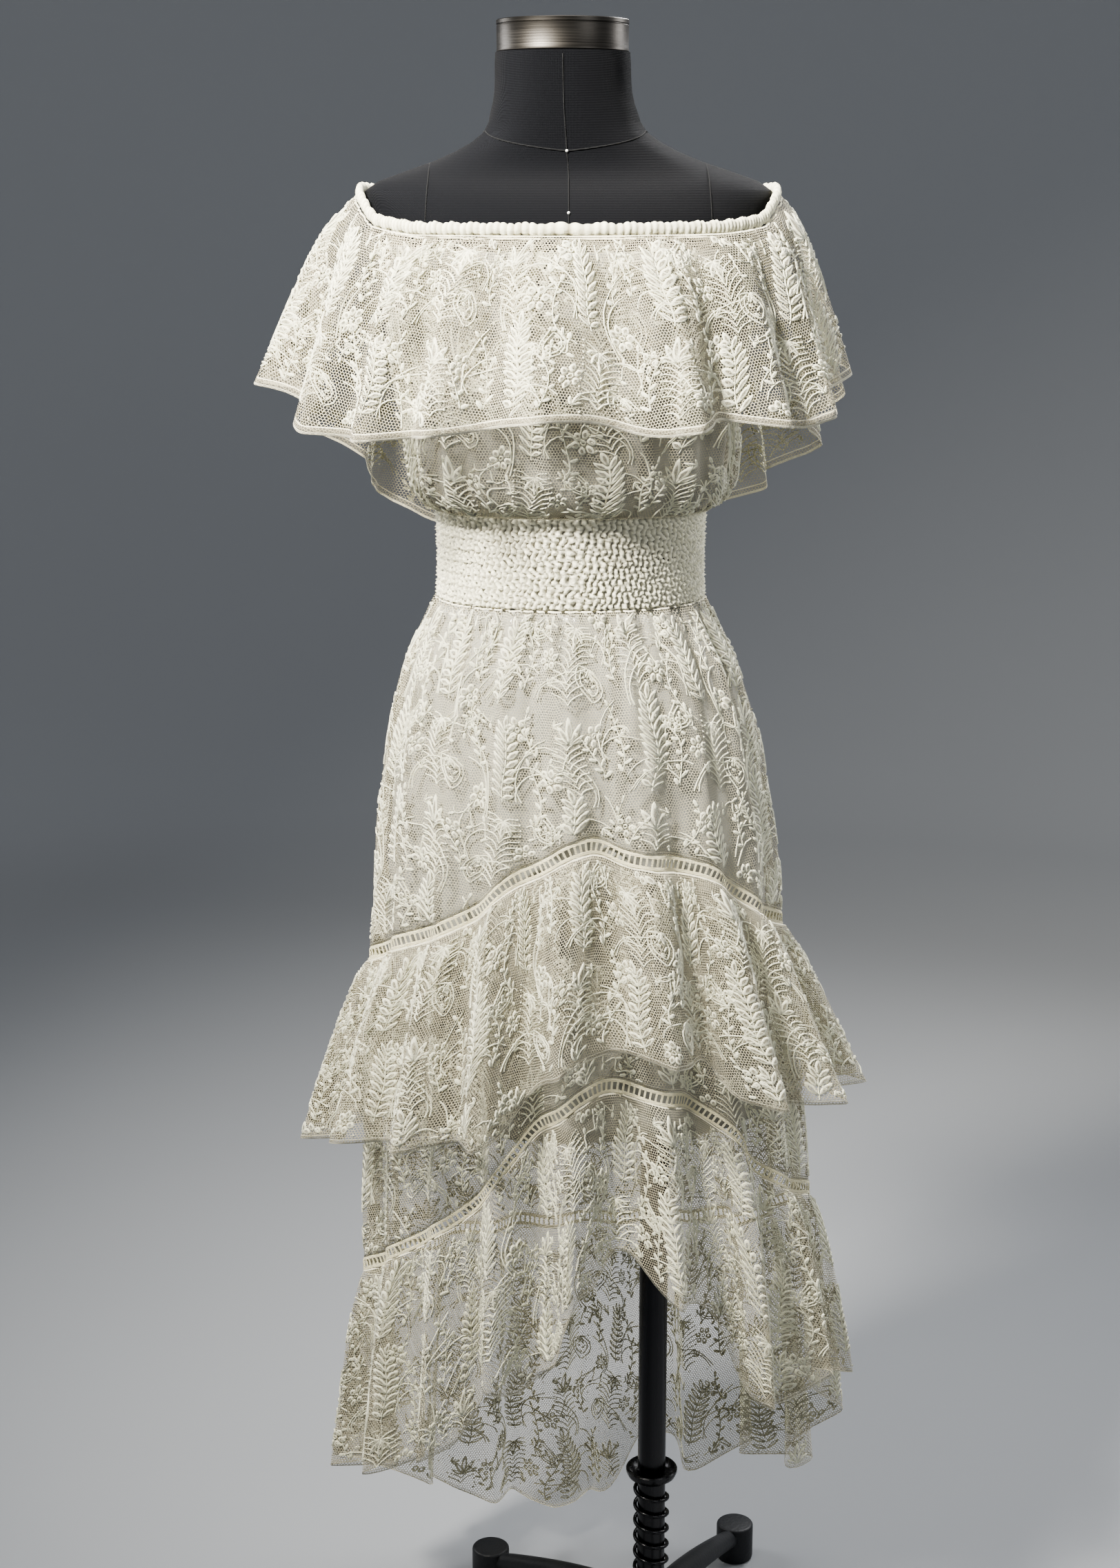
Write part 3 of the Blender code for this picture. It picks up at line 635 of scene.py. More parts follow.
def set_uv(mesh, u, v):
    layer = mesh.uv_layers.new(name="cloth")
    index = np.empty(len(mesh.loops), dtype=np.int32)
    mesh.loops.foreach_get("vertex_index", index)
    flat = np.stack([u[index], v[index]], axis=1).astype(np.float32)
    layer.data.foreach_set("uv", flat.ravel())


def grid_quads(rows, columns, wrap=False):
    """Quads of a grid of points, rows down and columns round."""
    row, column = np.meshgrid(np.arange(rows - 1), np.arange(columns if wrap else columns - 1),
                              indexing="ij")
    after = (column + 1) % columns
    here = row * columns
    below = here + columns
    return np.stack([here + column, below + column, below + after, here + after],
                    axis=-1).reshape(-1, 4)


class Cloth:
    """One panel of cloth: its surface, its span round the dress and its measured cut."""

    def __init__(self, surface, span, rows=36, columns=150, wrap=False):
        inset = 0.0 if wrap else SIDE_GAP
        self.surface = surface
        self.wrap = wrap
        self.azimuth = np.linspace(span[0] + inset, span[1] - inset, columns + 1)
        if wrap:
            self.azimuth = self.azimuth[:-1]
        self.part = np.linspace(0, 1, rows + 1)
        self.grid_a, self.grid_p = np.meshgrid(self.azimuth, self.part)
        self.points = surface(self.grid_a, self.grid_p)
        step = np.linalg.norm(np.diff(self.points, axis=1), axis=-1)
        self.width = np.concatenate([[0], np.cumsum(step[int(0.65 * rows)])])
        drop = np.linalg.norm(np.diff(self.points, axis=0), axis=-1)
        self.drop = np.concatenate([np.zeros((1, drop.shape[1])), np.cumsum(drop, axis=0)])
        self.length = self.drop[-1]

    def cut(self):
        """Flat width and length of the panel, and its area."""
        ring = self.points
        if self.wrap:
            ring = np.concatenate([ring, ring[:, :1]], axis=1)
        across = ring[:, 1:] - ring[:, :-1]
        down = ring[1:] - ring[:-1]
        area = np.linalg.norm(np.cross(across[:-1], down[:, :-1]), axis=-1).sum()
        widest = np.linalg.norm(across, axis=-1).sum(axis=1).max()
        longest = self.length.max()
        return float(widest), float(longest), float(min(area, widest * longest))

    def mesh(self, name, thick, hem=0.003):
        """A thin closed shell centred on the surface."""
        normal = surface_normals(self.surface, self.grid_a, self.grid_p)
        outer = self.points + normal * thick / 2
        inner = self.points - normal * thick / 2
        rows, columns = self.grid_a.shape
        count = rows * columns
        front = grid_quads(rows, columns, self.wrap)
        rear = front[:, ::-1] + count
        faces = [front, rear]
        last = (rows - 1) * columns
        around_edge = np.arange(columns if self.wrap else columns - 1)
        after = (around_edge + 1) % columns
        faces.append(np.stack([around_edge, after, after + count, around_edge + count], axis=1))
        faces.append(np.stack([last + after, last + around_edge, last + around_edge + count,
                               last + after + count], axis=1))
        if not self.wrap:
            side = np.arange(rows - 1) * columns
            faces.append(np.stack([side + columns, side, side + count, side + columns + count],
                                  axis=1))
            side = side + columns - 1
            faces.append(np.stack([side, side + columns, side + columns + count, side + count],
                                  axis=1))
        points = np.concatenate([outer.reshape(-1, 3), inner.reshape(-1, 3)])
        mesh = mesh_from(name, points, np.concatenate(faces))
        u = np.tile(np.broadcast_to(self.width, self.grid_a.shape).ravel(), 2)
        v = np.tile(self.drop.ravel(), 2)
        set_uv(mesh, u, v)
        paint(mesh, "to_hem", np.tile((self.length - self.drop).ravel() / hem, 2))
        paint(mesh, "from_top", v)
        paint(mesh, "outer", np.concatenate([np.ones(count), np.zeros(count)]))
        return mesh


# Lace drawing: petals, cords, ferns and flowers on flat cloth
class Drawing:
    """Flat raised work, one array of points (across, down, height) for each small piece."""

    def __init__(self, cord_wide, cord_high):
        self.cord_wide = cord_wide
        self.cord_high = cord_high
        self.pieces = []

    def add(self, points, faces, ridge):
        self.pieces.append((np.array(points), np.array(faces), np.array(ridge)))

    def petal(self, x, y, heading, length, width, corners=6, full=0.0):
        """A corded leaf from its stalk at x, y: a raised rim round an open or full middle."""
        turn = np.arange(corners) * 2 * math.pi / corners
        run = 0.5 * (1 - np.cos(turn))
        wide = 0.5 * width * np.sign(np.sin(turn)) * np.abs(np.sin(math.pi * run)) ** 0.7
        rim = min(0.75, 1.2 * self.cord_wide / max(width, 1e-6))
        points = []
        for inset, high in ((0.0, 0.05), (rim, 1.0)):
            ends = 1 - inset * width / length
            points += [((0.5 + (a - 0.5) * ends) * length, b * (1 - inset), high * self.cord_high)
                       for a, b in zip(run, wide)]
        points.append((0.5 * length, 0.0, 0.30 * self.cord_high))
        ridge = [1.0] * (2 * corners) + [full]
        faces = []
        for k in range(corners):
            after = (k + 1) % corners
            faces.append((k, after, after + corners))
            faces.append((k, after + corners, k + corners))
            faces.append((k + corners, after + corners, 2 * corners))
        self.place(points, faces, ridge, x, y, heading)

    def place(self, points, faces, ridge, x, y, heading):
        cos, sin = math.cos(heading), math.sin(heading)
        moved = [(x + a * cos - b * sin, y + a * sin + b * cos, h) for a, b, h in points]
        self.add(moved, faces, ridge)

    def cord(self, line, width=None, piece_points=4):
        """A raised cord along a line, in short pieces that can be cut at an edge."""
        width = width or self.cord_wide
        line = np.array(line)
        slope = np.gradient(line, axis=0)
        slope = slope / np.maximum(np.linalg.norm(slope, axis=1, keepdims=True), 1e-9)
        off = np.stack([-slope[:, 1], slope[:, 0]], axis=1) * width / 2
        for first in range(0, len(line) - 1, piece_points):
            part = slice(first, min(first + piece_points, len(line) - 1) + 1)
            mid, edge = line[part], off[part]
            count = len(mid)
            rows = [(mid - edge, 0.08), (mid, 1.0), (mid + edge, 0.08)]
            points = [(a, b, high * self.cord_high) for row, high in rows for a, b in row]
            ridge = [0.7] * count + [1.0] * count + [0.7] * count
            faces = []
            for strip in range(2):
                for k in range(count - 1):
                    a = strip * count + k
                    faces.append((a, a + 1, a + count + 1))
                    faces.append((a, a + count + 1, a + count))
            self.add(points, faces, ridge)

    def curve(self, x, y, heading, length, bend, steps=14):
        """Points and headings along a curved stem."""
        points = [(x, y)]
        headings = [heading]
        for _ in range(steps):
            heading += bend / steps
            x += math.cos(heading) * length / steps
            y += math.sin(heading) * length / steps
            points.append((x, y))
            headings.append(heading)
        return points, headings

    def fern(self, x, y, heading, length, leaf, pairs, bend=0.25):
        """A stem with paired narrow leaves that shorten towards its tip."""
        points, headings = self.curve(x, y, heading, length, bend, pairs * 2)
        self.cord(points)
        for pair in range(pairs):
            at = 2 * pair + 1
            size = leaf * (0.60 + 0.40 * math.sin(math.pi * (0.15 + 0.75 * pair / pairs)))
            open_angle = math.radians(60 - 20 * pair / pairs)
            for side in (-1, 1):
                self.petal(*points[at], headings[at] + side * open_angle, size, size * 0.34, 8)
        self.petal(*points[-1], headings[-1], leaf * 0.8, leaf * 0.34, 8)

    def chevrons(self, x, y, heading, pitch, arm, count):
        """Nested curved cords that spread to both sides of a stem, ending in dots."""
        for number in range(count):
            size = arm * (0.65 + 0.35 * math.sin(math.pi * (number + 1) / (count + 1)))
            centre = (x + math.cos(heading) * pitch * number, y + math.sin(heading) * pitch * number)
            for side in (-1, 1):
                line, ends = self.curve(*centre, heading + side * 0.35, size, side * 0.95, 3)
                self.cord(line, None, 4)
                self.petal(*line[-1], ends[-1], 0.0030, 0.0024, 4, 0.9)

    def tendril(self, x, y, heading, length, waves, sway):
        """A wandering cord with a small leaf at every bend."""
        steps = waves * 4
        points = []
        for step in range(steps + 1):
            run = length * step / steps
            side = sway * math.sin(2 * math.pi * waves * step / steps / 2)
            points.append((x + math.cos(heading) * run - math.sin(heading) * side,
                           y + math.sin(heading) * run + math.cos(heading) * side))
        self.cord(points, None, 4)
        for bend in range(waves):
            at = points[4 * bend + 2]
            side = 1 if bend % 2 == 0 else -1
            self.petal(*at, heading + side * 0.9, 0.0072, 0.0036, 6, 0.9)

    def flower(self, x, y, radius, petals, turn=0.0):
        """Open petals round an eyelet ring."""
        for number in range(petals):
            angle = turn + number * 2 * math.pi / petals
            start = radius * 0.28
            self.petal(x + start * math.cos(angle), y + start * math.sin(angle), angle,
                       radius * 0.72, radius * 0.60, 8)
        ring = [(x + radius * 0.17 * math.cos(a), y + radius * 0.17 * math.sin(a))
                for a in np.linspace(0, 2 * math.pi, 7)]
        self.cord(ring, self.cord_wide, 8)

    def spray(self, x, y, heading, length, leaves, bend):
        """A curved stem with small full leaves set by turns to its two sides."""
        points, headings = self.curve(x, y, heading, length, bend, leaves)
        self.cord(points)
        for leaf in range(leaves):
            side = 1 if leaf % 2 else -1
            size = 0.0095 - 0.0030 * leaf / leaves
            self.petal(*points[leaf], headings[leaf] + side * 0.85, size, size * 0.46, 6, 0.9)
        self.petal(*points[-1], headings[-1], 0.0080, 0.0038, 6, 0.9)

    def fan(self, x, y, heading, size, leaves, spread):
        """Long open leaves that spread from one point."""
        for leaf in range(leaves):
            share = leaf / (leaves - 1) - 0.5
            length = size * (1 - 0.35 * abs(2 * share))
            self.petal(x, y, heading + spread * share, length, length * 0.30, 8)

    def paisley(self, x, y, heading, size, bend):
        """A bent drop drawn by two cords, with a row of small leaves inside."""
        for shrink in (1.0, 0.68):
            line = []
            for u in np.linspace(0.03, 0.97, 17):
                run = 0.5 * (1 - math.cos(2 * math.pi * u))
                wide = 0.34 * math.sin(2 * math.pi * u) * math.sin(math.pi * run) ** 0.35
                run = 0.52 + (run - 0.52) * shrink
                angle = heading + bend * run
                across = wide * shrink * size
                line.append((x + math.cos(angle) * run * size - math.sin(angle) * across,
                             y + math.sin(angle) * run * size + math.cos(angle) * across))
            self.cord(line)
        for step in range(5):
            run = 0.24 + 0.13 * step
            angle = heading + bend * run
            self.petal(x + math.cos(angle) * run * size, y + math.sin(angle) * run * size,
                       angle + (0.9 if step % 2 else -0.9), size * 0.17, size * 0.08, 6)


def lace_repeat():
    """One repeat of the floral lace, a plain layout of this maker's own."""
    own = lace()
    wide, high = own.repeat_wide, own.repeat_high
    up = -0.5 * math.pi
    drawing = Drawing(own.cord_wide, own.cord_high)
    for draw, across, down, heading, *sizes in (
            (drawing.fern, 0.24, 0.99, up + 0.04, 0.50 * high, 0.0195, 11, 0.12),
            (drawing.fern, 0.74, 0.50, up - 0.06, 0.40 * high, 0.0175, 9, -0.15),
            (drawing.chevrons, 0.755, 0.98, up, 0.0062, 0.0210, 11),
            (drawing.chevrons, 0.25, 0.44, up + 0.05, 0.0062, 0.0175, 8),
            (drawing.fan, 0.25, 0.155, up, 0.026, 5, 2.3),
            (drawing.fan, 0.745, 0.60, up + 3.1, 0.020, 5, 2.5),
            (drawing.spray, 0.44, 0.95, up + 0.25, 0.066, 10, -0.9),
            (drawing.spray, 0.57, 0.60, up - 0.75, 0.058, 9, 1.2),
            (drawing.spray, 0.02, 0.86, up + 0.35, 0.062, 10, -0.8),
            (drawing.spray, 0.94, 0.34, up - 0.30, 0.056, 9, 0.9),
            (drawing.spray, 0.49, 0.24, up + 0.9, 0.040, 7, -1.3),
            (drawing.spray, 0.08, 0.36, up - 0.2, 0.046, 8, 1.0),
            (drawing.tendril, 0.30, 0.70, -0.35, 0.050, 6, 0.0045),
            (drawing.tendril, 0.52, 0.33, 3.4, 0.044, 5, 0.0045),
            (drawing.tendril, 0.84, 0.70, -0.55, 0.046, 5, 0.0050),
            (drawing.tendril, 0.80, 0.06, 0.45, 0.044, 5, 0.0045)):
        draw(across * wide, down * high, heading, *sizes)
    for across, down, heading, length, bend in (
            (0.10, 0.97, -1.2, 0.075, 1.6), (0.36, 0.86, -1.9, 0.080, -1.5),
            (0.62, 0.47, -1.1, 0.070, -1.7), (0.88, 0.60, -2.1, 0.078, 1.4),
            (0.15, 0.50, -2.0, 0.066, 1.8), (0.52, 0.99, -1.4, 0.060, 1.5),
            (0.66, 0.34, -1.8, 0.062, -1.6), (0.02, 0.28, -1.0, 0.060, -1.5)):
        stem, _ = drawing.curve(across * wide, down * high, heading, length, bend, 8)
        drawing.cord(stem)
        twin, _ = drawing.curve(across * wide + 0.004, down * high, heading - 0.25, length * 0.8,
                                bend * 1.4, 8)
        drawing.cord(twin)
    drawing.paisley(0.915 * wide, 0.97 * high, up + 0.25, 0.034, -0.7)
    drawing.paisley(0.50 * wide, 0.52 * high, up + 2.9, 0.030, 0.8)
    for across, down, radius, petals in ((0.40, 0.36, 0.0120, 6), (0.57, 0.76, 0.0110, 6),
                                         (0.93, 0.50, 0.0120, 7), (0.08, 0.13, 0.0100, 5),
                                         (0.60, 0.10, 0.0115, 6), (0.42, 0.62, 0.0080, 5)):
        drawing.flower(across * wide, down * high, radius, petals, 3 * across)
    for across, down, heading in ((0.10, 0.62, 2.2), (0.90, 0.80, 1.2), (0.36, 0.06, 3.5),
                                  (0.62, 0.90, 5.2), (0.97, 0.12, 0.8)):
        drawing.fan(across * wide, down * high, heading, 0.0125, 3, 1.5)
    return drawing


def lace_work(name, cloth, drawing, slot_name, top_margin, hem_margin, shift=(0.0, 0.0)):
    """The floral work of one panel, laid on the cloth a little proud of its face."""
    own = lace()
    total = cloth.width[-1]
    deepest = cloth.length.max()
    columns = int(math.ceil(total / own.repeat_wide)) + 2
    rows = int(math.ceil(deepest / own.repeat_high)) + 2
    points = []
    faces = []
    ridges = []
    count = 0
    for column in range(-1, columns):
        for row in range(-1, rows):
            east = column * own.repeat_wide + shift[0]
            south = (row + 0.5 * (column % 2)) * own.repeat_high + shift[1]
            flip = -1.0 if (column + row) % 3 == 1 else 1.0
            for flat, quads, ridge in drawing.pieces:
                across = flat[:, 0] if flip > 0 else own.repeat_wide - flat[:, 0]
                s = across + east
                t = flat[:, 1] + south
                # Every repeat wanders a little, so that no two flowers match
                s = s + 0.0055 * np.sin(34 * t + 1.7 * column) + 0.0022 * np.sin(91 * t + 40 * s)
                t = t + 0.0055 * np.sin(29 * s + 2.3 * row) + 0.0022 * np.sin(83 * s - 37 * t)
                if s.min() < 0.001 or s.max() > total - 0.001 or t.min() < top_margin:
                    continue
                limit = np.interp(s, cloth.width, cloth.length[:len(cloth.width)])
                if (t > limit - hem_margin).any():
                    continue
                points.append(np.stack([s, t, flat[:, 2]], axis=1))
                ordered = quads if flip > 0 else quads[:, ::-1]
                faces.append(ordered + count)
                ridges.append(ridge)
                count += len(flat)
    flat = np.concatenate(points)
    azimuth = np.interp(flat[:, 0], cloth.width, cloth.azimuth)
    length = np.interp(flat[:, 0], cloth.width, cloth.length)
    part = flat[:, 1] / length
    place = cloth.surface(azimuth, part)
    normal = surface_normals(cloth.surface, azimuth, part)
    place = place + normal * (flat[:, 2:3] + LACE_THICK / 2)
    faces = np.concatenate(faces)[:, ::-1]
    mesh = mesh_from(name, place, faces)
    set_uv(mesh, flat[:, 0], flat[:, 1])
    paint(mesh, "ridge", np.concatenate(ridges))
    return finish_object(name, mesh, MATERIALS["lace_work"])


def close_shell(mesh, fill=True):
    """Fill the open ends of a mesh and turn its faces outwards."""
    bm = bmesh.new()
    bm.from_mesh(mesh)
    if fill:
        bmesh.ops.holes_fill(bm, edges=[e for e in bm.edges if e.is_boundary], sides=0)
    bmesh.ops.recalc_face_normals(bm, faces=bm.faces[:])
    bm.to_mesh(mesh)
    bm.free()
    return mesh


def tube_mesh(name, path, radius, sides=8, closed=False):
    """A tube along a line of points."""
    path = np.asarray(path, dtype=float)
    if closed:
        ahead = np.roll(path, -1, axis=0) - np.roll(path, 1, axis=0)
    else:
        ahead = np.gradient(path, axis=0)
    ahead = ahead / np.linalg.norm(ahead, axis=1, keepdims=True)
    up = np.array([0.0, 0.0, 1.0]) - ahead * ahead[:, 2:3]
    weak = np.linalg.norm(up, axis=1) < 0.2
    up[weak] = np.array([1.0, 0.0, 0.0]) - ahead[weak] * ahead[weak, 0:1]
    up = up / np.linalg.norm(up, axis=1, keepdims=True)
    side = np.cross(ahead, up)
    radius = np.broadcast_to(radius, (len(path),))[:, None]
    rings = []
    for k in range(sides):
        angle = 2 * math.pi * k / sides
        rings.append(path + up * radius * math.cos(angle) + side * radius * math.sin(angle))
    points = np.stack(rings, axis=1)
    count = len(path)
    faces = []
    for row in range(count if closed else count - 1):
        low = (row + 1) % count
        for k in range(sides):
            k2 = (k + 1) % sides
            faces.append((row * sides + k, low * sides + k, low * sides + k2, row * sides + k2))
    mesh = bpy.data.meshes.new(name)
    mesh.from_pydata(points.reshape(-1, 3).tolist(), [], faces)
    return close_shell(mesh, fill=not closed)


def turned_mesh(name, profile, steps=64, squash=1.0, place=(0.0, 0.0, 0.0)):
    """A round solid from a profile that runs down its outer side, radius and height."""
    mesh = bpy.data.meshes.new(name)
    points = [(radius, 0.0, height) for radius, height in profile]
    mesh.from_pydata(points, [(k, k + 1) for k in range(len(points) - 1)], [])
    obj = bpy.data.objects.new(name, mesh)
    bpy.context.scene.collection.objects.link(obj)
    screw = obj.modifiers.new("turn", "SCREW")
    screw.steps = steps
    screw.render_steps = steps
    screw.use_merge_vertices = True
    screw.merge_threshold = 0.00001
    made = applied(obj, name)
    for vertex in made.vertices:
        vertex.co = Vector((vertex.co.x, vertex.co.y * squash, vertex.co.z)) + Vector(place)
    made.set_sharp_from_angle(angle=math.radians(35))
    return made


def applied(obj, name):
    """The object's mesh with its modifiers applied; the object is removed."""
    bpy.context.view_layer.update()
    evaluated = obj.evaluated_get(bpy.context.evaluated_depsgraph_get())
    made = bpy.data.meshes.new_from_object(evaluated)
    made.name = name
    bpy.data.objects.remove(obj, do_unlink=True)
    return made


def joined(name, meshes):
    """Several meshes as one, which keeps their attributes and UV maps."""
    bm = bmesh.new()
    for mesh in meshes:
        bm.from_mesh(mesh)
    made = bpy.data.meshes.new(name)
    bm.to_mesh(made)
    bm.free()
    return made


# Materials
class Tree:
    """Short words for making nodes and links."""

    def __init__(self, tree):
        self.tree = tree

    def node(self, kind, **values):
        made = self.tree.nodes.new(kind)
        for key, value in values.items():
            setattr(made, key, value)
        return made

    def math(self, operation, a, b=None, c=None):
        made = self.node("ShaderNodeMath", operation=operation)
        for socket, value in zip(made.inputs, (a, b, c)):
            self.feed(socket, value)
        return made.outputs[0]

    def vector(self, operation, a, b=None, c=None):
        made = self.node("ShaderNodeVectorMath", operation=operation)
        for socket, value in zip(made.inputs, (a, b, c)):
            self.feed(socket, value)
        return made.outputs["Value" if operation in {"DOT_PRODUCT", "LENGTH"} else "Vector"]

    def feed(self, socket, value):
        if value is None:
            return
        if isinstance(value, bpy.types.NodeSocket):
            self.tree.links.new(value, socket)
        else:
            socket.default_value = value

    def read(self, name):
        """A number that paint() put on the piece."""
        return self.node("ShaderNodeAttribute", attribute_name=name).outputs["Fac"]

    def mix(self, factor, a, b):
        made = self.node("ShaderNodeMix", data_type="RGBA")
        self.feed(made.inputs["Factor"], factor)
        self.feed(made.inputs[6], a)
        self.feed(made.inputs[7], b)
        return made.outputs[2]


def new_group(name, inputs, outputs, kind="ShaderNodeTree"):
    """A node group with its sockets, and its input and output nodes."""
    group = bpy.data.node_groups.new(name, kind)
    for label, socket_kind, value in inputs:
        socket = group.interface.new_socket(label, in_out="INPUT", socket_type=socket_kind)
        if value is not None:
            socket.default_value = value
    for label, socket_kind in outputs:
        group.interface.new_socket(label, in_out="OUTPUT", socket_type=socket_kind)
    tree = Tree(group)
    return group, tree, tree.node("NodeGroupInput"), tree.node("NodeGroupOutput")


def net_group():
    """Hexagonal net with small dots: how much thread covers a point, and its height."""
    group, tree, given, out = new_group(
        "hexagon_net",
        [("Cell", "NodeSocketFloat", 0.0026), ("Thread", "NodeSocketFloat", 0.3),
         ("Dots", "NodeSocketFloat", 0.011)],
        [("Cover", "NodeSocketFloat"), ("Height", "NodeSocketFloat")])
    uv = tree.node("ShaderNodeUVMap", uv_map="cloth").outputs[0]
    size = tree.node("ShaderNodeCombineXYZ")
    for socket in size.inputs:
        tree.feed(socket, given.outputs["Cell"])
    cell = tree.vector("DIVIDE", uv, size.outputs[0])
    tall = math.sqrt(3)
    repeat = (1.0, tall, 1.0)
    half = (0.5, tall / 2, 0.5)
    edge = []
    for offset in ((0.0, 0.0, 0.0), half):
        moved = tree.vector("ADD", cell, offset)
        folded = tree.vector("SUBTRACT", tree.vector("WRAP", moved, repeat, (0.0, 0.0, 0.0)), half)
        flat = tree.vector("MULTIPLY", folded, (1.0, 1.0, 0.0))
        edge.append(flat)
    near = tree.math("LESS_THAN", tree.vector("DOT_PRODUCT", edge[0], edge[0]),
                     tree.vector("DOT_PRODUCT", edge[1], edge[1]))
    pick = tree.node("ShaderNodeMix", data_type="VECTOR")
    tree.feed(pick.inputs["Factor"], near)
    tree.feed(pick.inputs[4], edge[1])
    tree.feed(pick.inputs[5], edge[0])
    spot = tree.vector("ABSOLUTE", pick.outputs[1])
    parts = tree.node("ShaderNodeSeparateXYZ")
    tree.feed(parts.inputs[0], spot)
    slanted = tree.vector("DOT_PRODUCT", spot, (0.5, tall / 2, 0.0))
    reach = tree.math("MAXIMUM", parts.outputs[0], slanted)
    wall = tree.math("SUBTRACT", 0.5, reach)
    thread = tree.math("MULTIPLY", given.outputs["Thread"], 0.5)
    soft = tree.node("ShaderNodeMapRange", interpolation_type="SMOOTHSTEP")
    tree.feed(soft.inputs["Value"], wall)
    tree.feed(soft.inputs["From Min"], thread)
    tree.feed(soft.inputs["From Max"], tree.math("MULTIPLY", thread, 0.4))
    grid = tree.node("ShaderNodeCombineXYZ")
    for socket in grid.inputs:
        tree.feed(socket, given.outputs["Dots"])
    dots = tree.node("ShaderNodeTexVoronoi", feature="F1")
    dots.inputs["Randomness"].default_value = 0.25
    dots.inputs["Scale"].default_value = 1.0
    tree.feed(dots.inputs["Vector"], tree.vector("DIVIDE", uv, grid.outputs[0]))
    dot = tree.math("LESS_THAN", dots.outputs["Distance"], 0.085)
    cover = tree.math("MAXIMUM", soft.outputs[0], dot)
    tree.feed(out.inputs["Cover"], cover)
    tree.feed(out.inputs["Height"], tree.math("ADD", soft.outputs[0], dot))
    return group


def thread_group():
    """Fine crossed threads and slow unevenness, on the cloth's own metres."""
    group, tree, given, out = new_group(
        "cloth_threads",
        [("Pitch", "NodeSocketFloat", 0.0005), ("Uneven", "NodeSocketFloat", 60.0)],
        [("Weave", "NodeSocketFloat"), ("Cloud", "NodeSocketFloat")])
    place = tree.node("ShaderNodeTexCoord").outputs["Object"]
    parts = tree.node("ShaderNodeSeparateXYZ")
    tree.feed(parts.inputs[0], place)
    turn = tree.math("DIVIDE", math.tau, given.outputs["Pitch"])
    level = tree.math("SINE", tree.math("MULTIPLY", parts.outputs[2], turn))
    slant = tree.math("ADD", parts.outputs[0], parts.outputs[1])
    upright = tree.math("SINE", tree.math("MULTIPLY", slant, turn))
    tree.feed(out.inputs["Weave"], tree.math("MULTIPLY", tree.math("ADD", level, upright), 0.5))
    cloud = tree.node("ShaderNodeTexNoise")
    tree.feed(cloud.inputs["Vector"], place)
    tree.feed(cloud.inputs["Scale"], given.outputs["Uneven"])
    cloud.inputs["Detail"].default_value = 4.0
    tree.feed(out.inputs["Cloud"], cloud.outputs[0])
    return group


def new_material(name, colour, roughness, metallic=0.0, sheen=0.0):
    made = bpy.data.materials.new(name)
    made.use_nodes = True
    tree = Tree(made.node_tree)
    shader = made.node_tree.nodes["Principled BSDF"]
    shader.inputs["Base Color"].default_value = (*colour, 1.0)
    shader.inputs["Roughness"].default_value = roughness
    shader.inputs["Metallic"].default_value = metallic
    shader.inputs["Sheen Weight"].default_value = sheen
    MATERIALS[name] = made
    return tree, shader


def shade(colour, factor):
    return tuple(min(1.0, channel * factor) for channel in colour) + (1.0,)


def use_group(tree, group, **values):
    made = tree.node("ShaderNodeGroup", node_tree=group)
    for key, value in values.items():
        tree.feed(made.inputs[key], value)
    return made


def bump(tree, shader, height, distance, strength=1.0):
    made = tree.node("ShaderNodeBump")
    made.inputs["Distance"].default_value = distance
    made.inputs["Strength"].default_value = strength
    tree.feed(made.inputs["Height"], height)
    tree.feed(shader.inputs["Normal"], made.outputs[0])


def thread_material(threads, name, colour, roughness, pitch, uneven, metallic=0.0, sheen=0.0):
    """A new material that holds the cloth's threads, for its colours and its relief."""
    tree, shader = new_material(name, colour, roughness, metallic, sheen)
    return tree, shader, use_group(tree, threads, Pitch=pitch, Uneven=uneven)


def mottle_and_shade(tree, shader, factor, dark, light):
    """Base colour between a darker and a lighter tone: random mottle where the factor is noise,
    painted shade and painted highlight where the factor is a crest mask.
    """
    tree.feed(shader.inputs["Base Color"], tree.mix(factor, dark, light))


